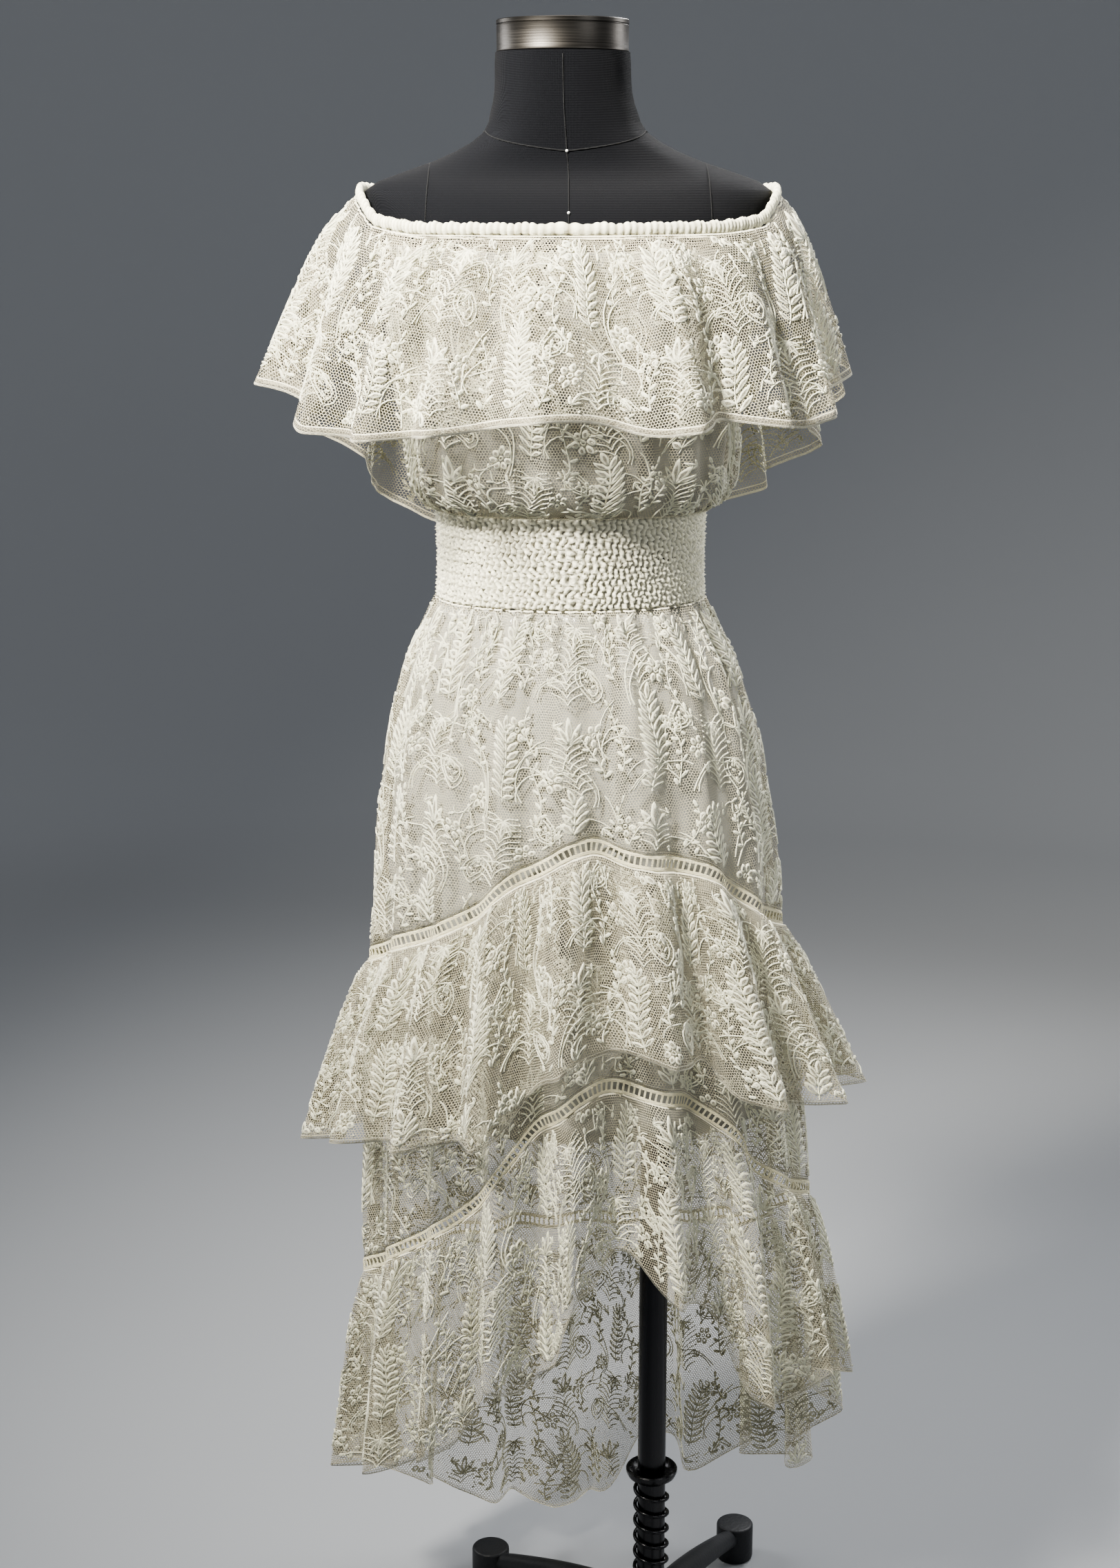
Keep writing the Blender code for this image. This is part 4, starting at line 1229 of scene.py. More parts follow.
def make_materials():
    own = lace()
    iron = stand()
    net = net_group()
    threads = thread_group()

    tree, shader = new_material("lace_net", own.net_colour, 0.85, sheen=0.2)
    cells = use_group(tree, net, Cell=own.net_cell, Thread=own.net_thread)
    hem = tree.read("to_hem")
    top = tree.read("from_top")
    # Shares of the hem's depth, counted from its edge, and how much the turned layer covers
    rolled, stitch_line, stitch_half, turned_layer = 0.30, 0.93, 0.07, 0.30
    seam_edge = 0.0016
    off_stitch = tree.math("ABSOLUTE", tree.math("SUBTRACT", hem, stitch_line))
    stitched = tree.math("LESS_THAN", off_stitch, stitch_half)
    turned = tree.math("MAXIMUM", tree.math("LESS_THAN", hem, rolled),
                       tree.math("LESS_THAN", top, seam_edge))
    turned = tree.math("MAXIMUM", turned, stitched)
    doubled = tree.math("MULTIPLY", tree.math("LESS_THAN", hem, 1.0), turned_layer)
    cover = tree.math("MAXIMUM", cells.outputs["Cover"], tree.math("MAXIMUM", turned, doubled))
    outer = tree.read("outer")
    tree.feed(shader.inputs["Alpha"], tree.math("MULTIPLY", tree.math("MINIMUM", cover, 1.0), outer))
    wash = use_group(tree, threads, Pitch=0.0004, Uneven=14.0)
    washed = tree.mix(
        wash.outputs["Cloud"], shade(own.net_colour, 0.92), shade(own.net_colour, 1.10))
    tree.feed(shader.inputs["Base Color"], tree.mix(turned, washed, shade(own.cord_colour, 0.94)))
    bump(tree, shader, cells.outputs["Height"], 0.0003)

    tree, shader = new_material("lace_work", own.cord_colour, 0.62, sheen=0.3)
    ridge = tree.read("ridge")
    filled = tree.node("ShaderNodeMapRange")
    tree.feed(filled.inputs["Value"], ridge)
    filled.inputs["From Min"].default_value = 0.50
    filled.inputs["From Max"].default_value = 0.62
    filled.inputs["To Min"].default_value = 0.30
    tree.feed(shader.inputs["Alpha"], filled.outputs[0])
    weave = use_group(tree, threads, Pitch=0.0007, Uneven=55.0)
    tone = tree.mix(ridge, shade(own.cord_colour, 0.62), shade(own.cord_colour, 1.06))
    tree.feed(shader.inputs["Base Color"], tree.mix(
        tree.math("MULTIPLY", weave.outputs["Cloud"], 0.25), tone, shade(own.tape_colour, 0.95)))
    bump(tree, shader, weave.outputs["Weave"], 0.00018)

    tree, shader, weave = thread_material(
        threads, "shirred_lace", own.cord_colour, 0.72, 0.0008, 420.0, sheen=0.25)
    # Painted shade: the valleys between the puffs and the band's inside are painted dark and the
    # puffs' crests painted light, with a little random mottle on top
    puff_crest = tree.read("ridge")
    crest_shade_and_mottle = tree.math("MULTIPLY_ADD", puff_crest, 1.05,
                        tree.math("MULTIPLY", weave.outputs["Cloud"], 0.35))
    mottle_and_shade(tree, shader, crest_shade_and_mottle, shade(own.net_colour, 0.16), shade(own.cord_colour, 1.02))
    bump(tree, shader, weave.outputs["Cloud"], 0.0012)

    tree, shader, weave = thread_material(
        threads, "cream_tape", own.tape_colour, 0.75, 0.0009, 130.0, sheen=0.25)
    mottle_and_shade(tree, shader, weave.outputs["Cloud"], shade(own.tape_colour, 0.88),
           shade(own.tape_colour, 1.08))
    bump(tree, shader, weave.outputs["Weave"], 0.0003)

    tree, shader, weave = thread_material(
        threads, "ruched_tape", own.tape_colour, 0.78, 0.0009, 260.0, sheen=0.2)
    crest = tree.read("ridge")
    # Painted shade: the casing's pinched places are painted dark and its puffs painted light
    mottle_and_shade(tree, shader, crest, shade(own.tape_colour, 0.36), shade(own.cord_colour, 1.04))
    bump(tree, shader, weave.outputs["Cloud"], 0.0008)

    tree, shader, weave = thread_material(
        threads, "satin", own.satin_colour, 0.25, 0.0003, 9.0, sheen=0.15)
    mottle_and_shade(tree, shader, weave.outputs["Cloud"], shade(own.satin_colour, 0.90),
           shade(own.satin_colour, 1.12))
    stretched = tree.node("ShaderNodeMapping")
    tree.feed(stretched.inputs["Vector"], tree.node("ShaderNodeTexCoord").outputs["Object"])
    stretched.inputs["Rotation"].default_value = (0.0, 0.35, 0.0)
    stretched.inputs["Scale"].default_value = (30.0, 30.0, 6.0)
    creases = tree.node("ShaderNodeTexNoise")
    creases.inputs["Scale"].default_value = 1.0
    creases.inputs["Detail"].default_value = 1.5
    tree.feed(creases.inputs["Vector"], stretched.outputs[0])
    bump(tree, shader, creases.outputs[0], 0.020)

    tree, shader, weave = thread_material(
        threads, "form_cover", iron.cover_colour, 0.80, 0.0008, 700.0, sheen=0.02)
    shader.inputs["Specular IOR Level"].default_value = 0.15
    mottle_and_shade(tree, shader, weave.outputs["Cloud"], shade(iron.cover_colour, 0.75),
           shade(iron.cover_colour, 1.45))
    bump(tree, shader, weave.outputs["Weave"], 0.00025)

    tree, shader, weave = thread_material(
        threads, "seam_thread", (0.003, 0.0035, 0.0045), 0.9, 0.0012, 500.0)
    bump(tree, shader, weave.outputs["Weave"], 0.0002)

    for name, colour, rough, streaks in (("gunmetal", (0.060, 0.056, 0.051), 0.36, (3.0, 3.0, 900.0)),
                                         ("steel", (0.045, 0.045, 0.047), 0.24, (240.0, 240.0, 2.0))):
        tree, shader = new_material(name, colour, rough, 1.0)
        place = tree.node("ShaderNodeMapping")
        tree.feed(place.inputs["Vector"], tree.node("ShaderNodeTexCoord").outputs["Object"])
        place.inputs["Scale"].default_value = streaks
        noise = tree.node("ShaderNodeTexNoise")
        noise.inputs["Scale"].default_value = 1.0
        noise.inputs["Detail"].default_value = 3.0
        tree.feed(noise.inputs["Vector"], place.outputs[0])
        spread = tree.node("ShaderNodeMapRange")
        spread.inputs["To Min"].default_value = rough - 0.10
        spread.inputs["To Max"].default_value = rough + 0.16
        tree.feed(spread.inputs["Value"], noise.outputs[0])
        tree.feed(shader.inputs["Roughness"], spread.outputs[0])
        mottle_and_shade(tree, shader, noise.outputs[0], shade(colour, 0.75), shade(colour, 1.35))
        bump(tree, shader, noise.outputs[0], 0.00008)

    tree, shader, weave = thread_material(
        threads, "cast_iron", iron.iron_colour, 0.5, 0.002, 260.0, metallic=0.2)
    mottle_and_shade(tree, shader, weave.outputs["Cloud"], shade(iron.iron_colour, 0.8),
           shade(iron.iron_colour, 1.5))
    bump(tree, shader, weave.outputs["Cloud"], 0.0004)

    tree, shader, weave = thread_material(
        threads, "pin_head", (0.80, 0.80, 0.78), 0.35, 0.001, 900.0)
    tree.feed(shader.inputs["Roughness"], tree.math("MULTIPLY_ADD", weave.outputs["Cloud"], 0.2, 0.25))

    tree, shader, cloud = thread_material(threads, "studio", (0.29, 0.30, 0.315), 0.95, 0.5, 0.8)
    mottle_and_shade(tree, shader, cloud.outputs["Cloud"], (0.275, 0.285, 0.30, 1.0),
           (0.305, 0.315, 0.33, 1.0))
    shader.inputs["Emission Strength"].default_value = 0.085
    tree.feed(shader.inputs["Emission Color"], tree.mix(
        tree.read("glow"), (0.0, 0.0, 0.0, 1.0), (0.86, 0.90, 0.96, 1.0)))


def lace_panel(name, node, surface, span, rows, columns, margins, shift, hem):
    """A panel of net with its floral work."""
    cloth = Cloth(surface, span, rows, columns)
    panel = finish_object(name, cloth.mesh(name, LACE_THICK, hem), MATERIALS["lace_net"],
                          (node,))
    work = lace_work(name + "_flowers", cloth, REPEAT["lace"], "lace", *margins, shift)
    width, length, area = cloth.cut()
    return cloth


def both_panels(name, surface, rows, columns, margins, hem=0.003):
    """Front and back panel, their flowers shifted so that the two sides don't match."""
    for index, (side, span) in enumerate(PANEL_SPANS.items()):
        shift = (0.031 * index + 0.011 * rows % 0.05, 0.017 * index)
        lace_panel(name + "_" + side + "_net", name + "_" + side, surface, span, rows, columns,
                   margins, shift, hem)


def lining(name, surface, rows, columns):
    """A satin tube inside the lace."""
    cloth = Cloth(surface, ROUND, rows, columns, wrap=True)
    piece = finish_object(name + "_satin", cloth.mesh(name + "_satin", SATIN_THICK),
                          MATERIALS["satin"], (name,))
    width, length, area = cloth.cut()


class DRESS_OT_bodice(bpy.types.Operator):
    """Blouse of lace over its satin lining"""
    bl_idname = "dress.bodice"
    bl_label = "Bodice"

    def execute(self, context):
        both_panels("bodice", bodice, 24, 120, (0.002, 0.002))
        lining("bodice_lining", bodice_lining, 20, 160)
        return {"FINISHED"}


class DRESS_OT_neck(bpy.types.Operator):
    """Ruched elastic casing and the flounce that hangs from it"""
    bl_idname = "dress.neck"
    bl_label = "Neck casing and flounce"

    def execute(self, context):
        both_panels("neck_flounce", neck_flounce, 28, 150, (0.002, 0.008), 0.0075)
        count, sides, ruches = 1100, 9, 105
        azimuth = np.arange(count) * 2 * math.pi / count
        line = neck_line(azimuth)
        pinch = np.abs(np.sin(ruches * azimuth + 1.6 * np.sin(7 * azimuth))) ** 0.6
        pinch = pinch * (0.86 + 0.14 * np.cos(67 * azimuth + 0.5))
        rings = []
        for side in range(sides):
            angle = 2 * math.pi * side / sides
            out = CASING_THICK * np.cos(angle) * (0.62 + 0.48 * pinch)
            ring = section_point(BODICE, azimuth, line, out, BODICE_SQUARE)
            lift = 0.0007 * np.cos(57 * azimuth + 1.0)
            ring[..., 2] = line - CASING_HIGH * np.sin(angle) * (0.66 + 0.30 * pinch) + lift
            rings.append(ring)
        points = np.stack(rings).reshape(-1, 3)
        faces = grid_quads(sides, count, wrap=True)
        seam = np.arange(count)
        after = (seam + 1) % count
        last = (sides - 1) * count
        faces = np.concatenate([faces, np.stack([last + seam, seam, after, last + after], axis=1)])
        mesh = mesh_from("neck_casing_tape", points, faces)
        # The pinch also goes to the ruched tape material, which paints shade in the pinched places and
        # a highlight on the puffs
        paint(mesh, "ridge", np.tile(pinch, sides))
        finish_object("neck_casing_tape", mesh, MATERIALS["ruched_tape"], ("neck_casing",))
        return {"FINISHED"}


class DRESS_OT_waistband(bpy.types.Operator):
    """Shirred waistband, rows of puffs over a plain inside"""
    bl_idname = "dress.waistband"
    bl_label = "Waistband"

    def execute(self, context):
        own = lace()
        columns = own.puffs * 5
        rows = own.puff_rows * 3
        azimuth = np.arange(columns) * 2 * math.pi / columns
        part = np.linspace(0, 1, rows + 1)
        grid_a, grid_p = np.meshgrid(azimuth, part)
        height = BAND_TOP + (BAND_BOTTOM - BAND_TOP) * grid_p
        row = grid_p * own.puff_rows
        zigzag = np.arcsin(np.sin(math.pi * row)) / (0.5 * math.pi)
        drift = 0.9 * np.sin(3 * grid_a + 7 * grid_p) + 0.7 * np.sin(17 * grid_a + 23 * grid_p)
        pleat = np.abs(np.cos(0.5 * own.puffs * grid_a + 0.95 * zigzag + drift)) ** 0.7
        pinch = 0.55 + 0.45 * np.abs(np.sin(math.pi * row + 0.5 * np.sin(31 * grid_a))) ** 0.8
        uneven = 0.84 + 0.22 * np.sin(43 * grid_a + 9 * row) + 0.14 * np.sin(71 * grid_a - 5 * row)
        puff = pleat * pinch * uneven
        puff_high, sunk, inside = 0.0058, 0.0032, 0.0026
        narrow, narrowest, span = 0.0012, 1.18, 0.16
        lift = puff_high * puff - sunk
        waist = narrow * np.cos(2 * math.pi * (height - narrowest) / span)
        ring = section_point(SKIRT, grid_a, BAND_BOTTOM + 0.0 * grid_a, lift - waist)
        ring[..., 2] = height
        inner = section_point(SKIRT, grid_a[[0, -1]], BAND_BOTTOM + 0.0 * grid_a[[0, -1]], -inside)
        inner[..., 2] = height[[0, -1]]
        count = (rows + 1) * columns
        faces = [grid_quads(rows + 1, columns, wrap=True)]
        here = np.arange(columns)
        after = (here + 1) % columns
        last = rows * columns
        low = count + columns
        faces.append(np.stack([count + after, low + after, low + here, count + here], axis=1))
        faces.append(np.stack([here, after, count + after, count + here], axis=1))
        faces.append(np.stack([last + after, last + here, low + here, low + after], axis=1))
        points = np.concatenate([ring.reshape(-1, 3), inner.reshape(-1, 3)])
        mesh = mesh_from("waistband_puffs", points, np.concatenate(faces))
        # Crest of each puff, 0 in the valleys and on the inside: the shirred lace material paints
        # shade in the valleys and a highlight on the crests from it
        crest = np.clip(1.25 * puff, 0, 1) ** 1.5
        paint(mesh, "ridge", np.concatenate([crest.ravel(), np.zeros(2 * columns)]))
        band = finish_object("waistband_puffs", mesh, MATERIALS["shirred_lace"],
                             ("waistband_shirred",))
        return {"FINISHED"}


class DRESS_OT_skirt(bpy.types.Operator):
    """Upper and lower skirt panels over the slip"""
    bl_idname = "dress.skirt"
    bl_label = "Skirt"

    def execute(self, context):
        upper = skirt_strip(skirt_top, over_trim(upper_trim), 0.0026, LACE_THICK)
        lower = skirt_strip(under_trim(upper_trim), over_trim(lower_trim), 0.0010, LACE_THICK)
        both_panels("skirt_upper", upper, 30, 140, (0.002, 0.002))
        both_panels("skirt_lower", lower, 28, 140, (0.002, 0.002))
        lining("skirt_lining", skirt_lining, 32, 170)
        return {"FINISHED"}


class DRESS_OT_flounces(bpy.types.Operator):
    """Gathered flounces under the two ladder trims, with rolled hems"""
    bl_idname = "dress.flounces"
    bl_label = "Flounces"

    def execute(self, context):
        both_panels("flounce_upper", upper_flounce, 28, 160, (0.002, 0.005), 0.004)
        both_panels("flounce_lower", lower_flounce, 32, 160, (0.002, 0.005), 0.004)
        return {"FINISHED"}


def geometry_group(name, start, sizes, made):
    """A Geometry Nodes group: what it starts from, its sizes, its material and what it makes."""
    inputs = [(start, "NodeSocketGeometry", None)]
    for label, value in sizes:
        kind = "NodeSocketVector" if isinstance(value, tuple) else "NodeSocketFloat"
        inputs.append((label, kind, value))
    inputs.append(("Material", "NodeSocketMaterial", None))
    return new_group(name, inputs, [(made, "NodeSocketGeometry")], "GeometryNodeTree")


def coat_and_put_out(tree, given, out, geometry):
    """Make instances real, set the material and end the tree."""
    real = tree.node("GeometryNodeRealizeInstances")
    tree.feed(real.inputs[0], geometry)
    coat = tree.node("GeometryNodeSetMaterial")
    tree.feed(coat.inputs["Geometry"], real.outputs[0])
    tree.feed(coat.inputs["Material"], given.outputs["Material"])
    tree.feed(out.inputs[0], coat.outputs[0])


def rung_tree():
    """Geometry Nodes: rungs set along a line at a pitch, square to it and upright."""
    group, tree, given, out = geometry_group(
        "ladder_rungs", "Line",
        (("Pitch", 0.0054), ("Wide", 0.0026), ("High", 0.0076), ("Thick", 0.001)), "Rungs")
    curve = tree.node("GeometryNodeMeshToCurve")
    tree.feed(curve.inputs["Mesh"], given.outputs["Line"])
    even = tree.node("GeometryNodeResampleCurve", mode="LENGTH")
    tree.feed(even.inputs["Curve"], curve.outputs[0])
    tree.feed(even.inputs["Length"], given.outputs["Pitch"])
    upright = tree.node("GeometryNodeSetCurveNormal", mode="Z_UP")
    tree.feed(upright.inputs["Curve"], even.outputs[0])
    turn = tree.node("FunctionNodeAxesToRotation", primary_axis="X", secondary_axis="Y")
    tree.feed(turn.inputs[0], tree.node("GeometryNodeInputTangent").outputs[0])
    tree.feed(turn.inputs[1], tree.node("GeometryNodeInputNormal").outputs[0])
    size = tree.node("ShaderNodeCombineXYZ")
    tree.feed(size.inputs[0], given.outputs["Wide"])
    tree.feed(size.inputs[1], given.outputs["Thick"])
    tree.feed(size.inputs[2], given.outputs["High"])
    rung = tree.node("GeometryNodeMeshCube")
    tree.feed(rung.inputs["Size"], size.outputs[0])
    rung.inputs["Vertices X"].default_value = 3
    set_each = tree.node("GeometryNodeInstanceOnPoints")
    tree.feed(set_each.inputs["Points"], upright.outputs[0])
    tree.feed(set_each.inputs["Instance"], rung.outputs[0])
    tree.feed(set_each.inputs["Rotation"], turn.outputs[0])
    coat_and_put_out(tree, given, out, set_each.outputs[0])
    return group


def set_input(modifier, label, value):
    for item in modifier.node_group.interface.items_tree:
        if item.item_type == "SOCKET" and item.in_out == "INPUT" and item.name == label:
            modifier[item.identifier] = value


def rungs_along(name, line, group, **sizes):
    """A mesh of rungs along a closed line of points."""
    mesh = bpy.data.meshes.new(name)
    count = len(line)
    mesh.from_pydata(line.tolist(), [(k, (k + 1) % count) for k in range(count)], [])
    obj = bpy.data.objects.new(name, mesh)
    bpy.context.scene.collection.objects.link(obj)
    nodes = obj.modifiers.new("rungs", "NODES")
    nodes.node_group = group
    for label, value in sizes.items():
        set_input(nodes, label, value)
    set_input(nodes, "Material", MATERIALS["cream_tape"])
    return applied(obj, name)


class DRESS_OT_trims(bpy.types.Operator):
    """Ladder insertion trims: two woven edges joined by rungs, open between them"""
    bl_idname = "dress.trims"
    bl_label = "Ladder trims"

    def execute(self, context):
        own = lace()
        group = rung_tree()
        edge = 0.0027
        edge_thick, rung_thick, proud = 0.0007, 0.0005, 0.0002
        half = TRIM_HIGH / 2
        for name, line in (("trim_upper", upper_trim), ("trim_lower", lower_trim)):
            parts = []
            for top, low in ((half, half - edge), (edge - half, -half)):
                strip = skirt_strip(lambda a, t=top: line(a) + t, lambda a, b=low: line(a) + b,
                                    0.0003, -proud)
                cloth = Cloth(strip, ROUND, 2, 640, wrap=True)
                width, _, strip_area = cloth.cut()
                parts.append(cloth.mesh(name + "_edge", edge_thick))
            azimuth = np.linspace(-math.pi, math.pi, 900, endpoint=False)
            middle = section_point(SKIRT, azimuth, line(azimuth),
                                   skirt_out(azimuth, line(azimuth)) + proud)
            rungs = rungs_along(name + "_rungs", middle, group, Pitch=own.rung_pitch,
                                Wide=own.rung_wide, High=TRIM_HIGH - 1.8 * edge,
                                Thick=rung_thick)
            mesh = joined(name + "_ladder", parts + [rungs])
            piece = finish_object(name + "_ladder", mesh, MATERIALS["cream_tape"], (name,),
                                  smooth=False)
        return {"FINISHED"}


class DRESS_OT_form(bpy.types.Operator):
    """Limbless form in a stretched cloth cover, with its seams, pins and neck cap"""
    bl_idname = "dress.form"
    bl_label = "Dress form"

    def execute(self, context):
        columns, rows = 96, 92
        azimuth = np.arange(columns) * 2 * math.pi / columns
        low, high = FORM[0].height, FORM[-1].height
        blend = np.linspace(1, 0, rows + 1)
        height = low + (high - low) * blend
        grid_a, grid_h = np.meshgrid(azimuth, height)
        points = section_point(FORM, grid_a, grid_h, -0.0002, FORM_SQUARE).reshape(-1, 3)
        faces = grid_quads(rows + 1, columns, wrap=True)
        mesh = close_shell(mesh_from("form_body", points, faces))
        hard_piece("form_body", mesh, "form_cover", ("form_torso",))
        mesh.shade_smooth()
        mesh.set_sharp_from_angle(angle=math.radians(50))

        seams = []
        steps = np.linspace(0, 1, 60)
        centre_low, centre_top = 1.28, 1.62
        height = centre_low + (centre_top - centre_low) * steps
        for middle in (0.0, math.pi):
            seams.append(section_point(FORM, middle + 0.0 * height, height, 0.0, FORM_SQUARE))
        princess_low, princess_top = 1.30, 1.5285
        princess_out, bow = 0.122, 0.004
        for side in (-1, 1):
            height = princess_low + (princess_top - princess_low) * steps
            sideways = princess_out + bow * np.sin(3 * steps)
            wide = along(FORM, "half_width", height)
            ratio = np.clip(sideways / wide, 0, 0.995)
            angle = np.arcsin(ratio ** (FORM_SQUARE / 2)) * side
            seams.append(section_point(FORM, angle, height, 0.0, FORM_SQUARE))
            seams.append(section_point(FORM, math.pi - angle, height, 0.0, FORM_SQUARE))
        azimuth = np.linspace(0, 2 * math.pi, 120, endpoint=False)
        neck_seam, dip, dip_reach = 1.5560, 0.0175, 75
        ahead = np.clip(1 - np.abs(np.degrees(azimuth + math.pi) % 360 - 180) / dip_reach, 0, 1)
        neck = neck_seam - dip * ahead
        ring = section_point(FORM, azimuth, neck, 0.0, FORM_SQUARE)
        meshes = [tube_mesh("form_seam", path, 0.0006, 6) for path in seams]
        meshes.append(tube_mesh("form_seam", ring, 0.0007, 6, closed=True))
        finish_object("form_seams", joined("form_seams", meshes), MATERIALS["seam_thread"])

        pins = []
        pin_radius = 0.0013
        for height in (1.5385, 1.4860):
            spot = section_point(FORM, np.array(0.0), np.array(height), 0.0006, FORM_SQUARE)
            pin = bmesh.new()
            bmesh.ops.create_uvsphere(pin, u_segments=16, v_segments=10, radius=pin_radius)
            bmesh.ops.translate(pin, verts=pin.verts[:], vec=Vector(spot))
            head = bpy.data.meshes.new("pin")
            pin.to_mesh(head)
            pin.free()
            pins.append(head)
        finish_object("form_pins", joined("form_pins", pins), MATERIALS["pin_head"])

        low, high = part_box("neck_cap")
        radius = (high[0] - low[0]) / 2
        tall = high[2] - low[2]
        profile = [(0.0, tall - 0.0030), (radius - 0.0060, tall - 0.0030),
                   (radius - 0.0030, tall - 0.0004), (radius - 0.0022, tall), (radius - 0.0006, tall),
                   (radius, tall - 0.0006), (radius, tall - 0.0036), (radius - 0.0008, tall - 0.0041),
                   (radius - 0.0008, tall - 0.0046), (radius - 0.0002, tall - 0.0051),
                   (radius - 0.0004, 0.0030), (radius - 0.0001, 0.0024), (radius - 0.0002, 0.0006),
                   (radius - 0.0010, 0.0), (0.0, 0.0)]
        middle = ((low[0] + high[0]) / 2, (low[1] + high[1]) / 2, low[2])
        cap = turned_mesh("neck_cap_metal", profile, 96, 0.90, middle)
        hard_piece("neck_cap_metal", cap, "gunmetal", ("neck_cap",))
        return {"FINISHED"}


def spring_tree():
    """Geometry Nodes: a coil of round wire between two heights."""
    group, tree, given, out = geometry_group(
        "coil_spring", "Start",
        (("Turns", 6.0), ("Radius", 0.01735), ("Height", 0.1085), ("Wire", 0.0020),
         ("Place", (0.0, 0.0, 0.0))), "Spring")
    coil = tree.node("GeometryNodeCurveSpiral")
    coil.inputs["Resolution"].default_value = 40
    tree.feed(coil.inputs["Rotations"], given.outputs["Turns"])
    tree.feed(coil.inputs["Start Radius"], given.outputs["Radius"])
    tree.feed(coil.inputs["End Radius"], given.outputs["Radius"])
    tree.feed(coil.inputs["Height"], given.outputs["Height"])
    ring = tree.node("GeometryNodeCurvePrimitiveCircle")
    ring.inputs["Resolution"].default_value = 12
    tree.feed(ring.inputs["Radius"], given.outputs["Wire"])
    wire = tree.node("GeometryNodeCurveToMesh")
    wire.inputs["Fill Caps"].default_value = True
    tree.feed(wire.inputs["Curve"], coil.outputs[0])
    tree.feed(wire.inputs["Profile Curve"], ring.outputs[0])
    move = tree.node("GeometryNodeTransform")
    tree.feed(move.inputs["Geometry"], wire.outputs[0])
    tree.feed(move.inputs["Translation"], given.outputs["Place"])
    coat_and_put_out(tree, given, out, move.outputs[0])
    return group


class DRESS_OT_stand(bpy.types.Operator):
    """Pole, dished collar, spring and cast base"""
    bl_idname = "dress.stand"
    bl_label = "Stand"

    def execute(self, context):
        own = stand()
        axis = (FORM_X + own.pole_x, FORM_Y)
        legs, first_leg = 5, 64.0
        pole_foot, pole_edge, bore_clear, dish = 0.0997, 0.0008, 0.0003, 0.0058

        low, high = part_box("pole")
        radius = (high[0] - low[0]) / 2
        path = [(0.0, high[2]), (radius - pole_edge, high[2]), (radius, high[2] - pole_edge),
                (radius, low[2] + pole_edge), (radius - pole_edge, low[2]), (0.0, low[2])]
        mesh = turned_mesh("pole_steel", path, 64, 1.0, (*axis, 0.0))
        hard_piece("pole_steel", mesh, "steel", ("pole",))

        low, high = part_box("pole_collar")
        rim = (high[0] - low[0]) / 2
        bore = radius + bore_clear
        tall = high[2] - low[2]
        profile = [(bore, dish), (rim - 0.0080, dish), (rim - 0.0050, 0.0080),
                   (rim - 0.0028, tall), (rim - 0.0010, tall), (rim, tall - 0.0012),
                   (rim, tall - 0.0040), (rim - 0.0020, 0.0035), (rim - 0.0065, 0.0), (bore, 0.0),
                   (bore, dish)]
        mesh = turned_mesh("pole_collar_steel", profile, 64, 1.0, (*axis, low[2]))
        hard_piece("pole_collar_steel", mesh, "steel", ("pole_collar",))

        low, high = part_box("pole_spring")
        obj = bpy.data.objects.new("pole_spring_wire", bpy.data.meshes.new("start"))
        bpy.context.scene.collection.objects.link(obj)
        nodes = obj.modifiers.new("coil", "NODES")
        nodes.node_group = spring_tree()
        set_input(nodes, "Turns", float(own.spring_turns))
        set_input(nodes, "Radius", (high[0] - low[0]) / 2 - own.spring_wire)
        set_input(nodes, "Height", high[2] - low[2] - 2 * own.spring_wire)
        set_input(nodes, "Wire", own.spring_wire)
        set_input(nodes, "Place", (*axis, low[2] + own.spring_wire))
        set_input(nodes, "Material", MATERIALS["steel"])
        mesh = applied(obj, "pole_spring_wire")
        finish_object("pole_spring_wire", mesh, MATERIALS["steel"], ("pole_spring",))

        low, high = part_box("base_hub")
        rim = (high[0] - low[0]) / 2
        top, bottom = high[2], low[2]
        profile = [(0.0, pole_foot), (bore, pole_foot), (bore, top - 0.001), (bore + 0.001, top),
                   (rim - 0.0090, top), (rim - 0.0065, top - 0.0015), (rim - 0.0050, top - 0.0060),
                   (rim - 0.0015, top - 0.0330), (rim, top - 0.0380), (rim, bottom + 0.0035),
                   (rim - 0.0012, bottom + 0.0010), (rim - 0.0040, bottom), (0.0, bottom)]
        mesh = turned_mesh("base_hub_iron", profile, 72, 1.0, (*axis, 0.0))
        hard_piece("base_hub_iron", mesh, "cast_iron", ("base_hub",))

        for number in range(legs):
            name = "base_leg_" + str(number + 1)
            angle = math.radians(first_leg + 360 / legs * number)
            mesh = leg_mesh(name + "_iron", axis, angle, rim, own.leg_reach)
            hard_piece(name + "_iron", mesh, "cast_iron", (name,))
        return {"FINISHED"}


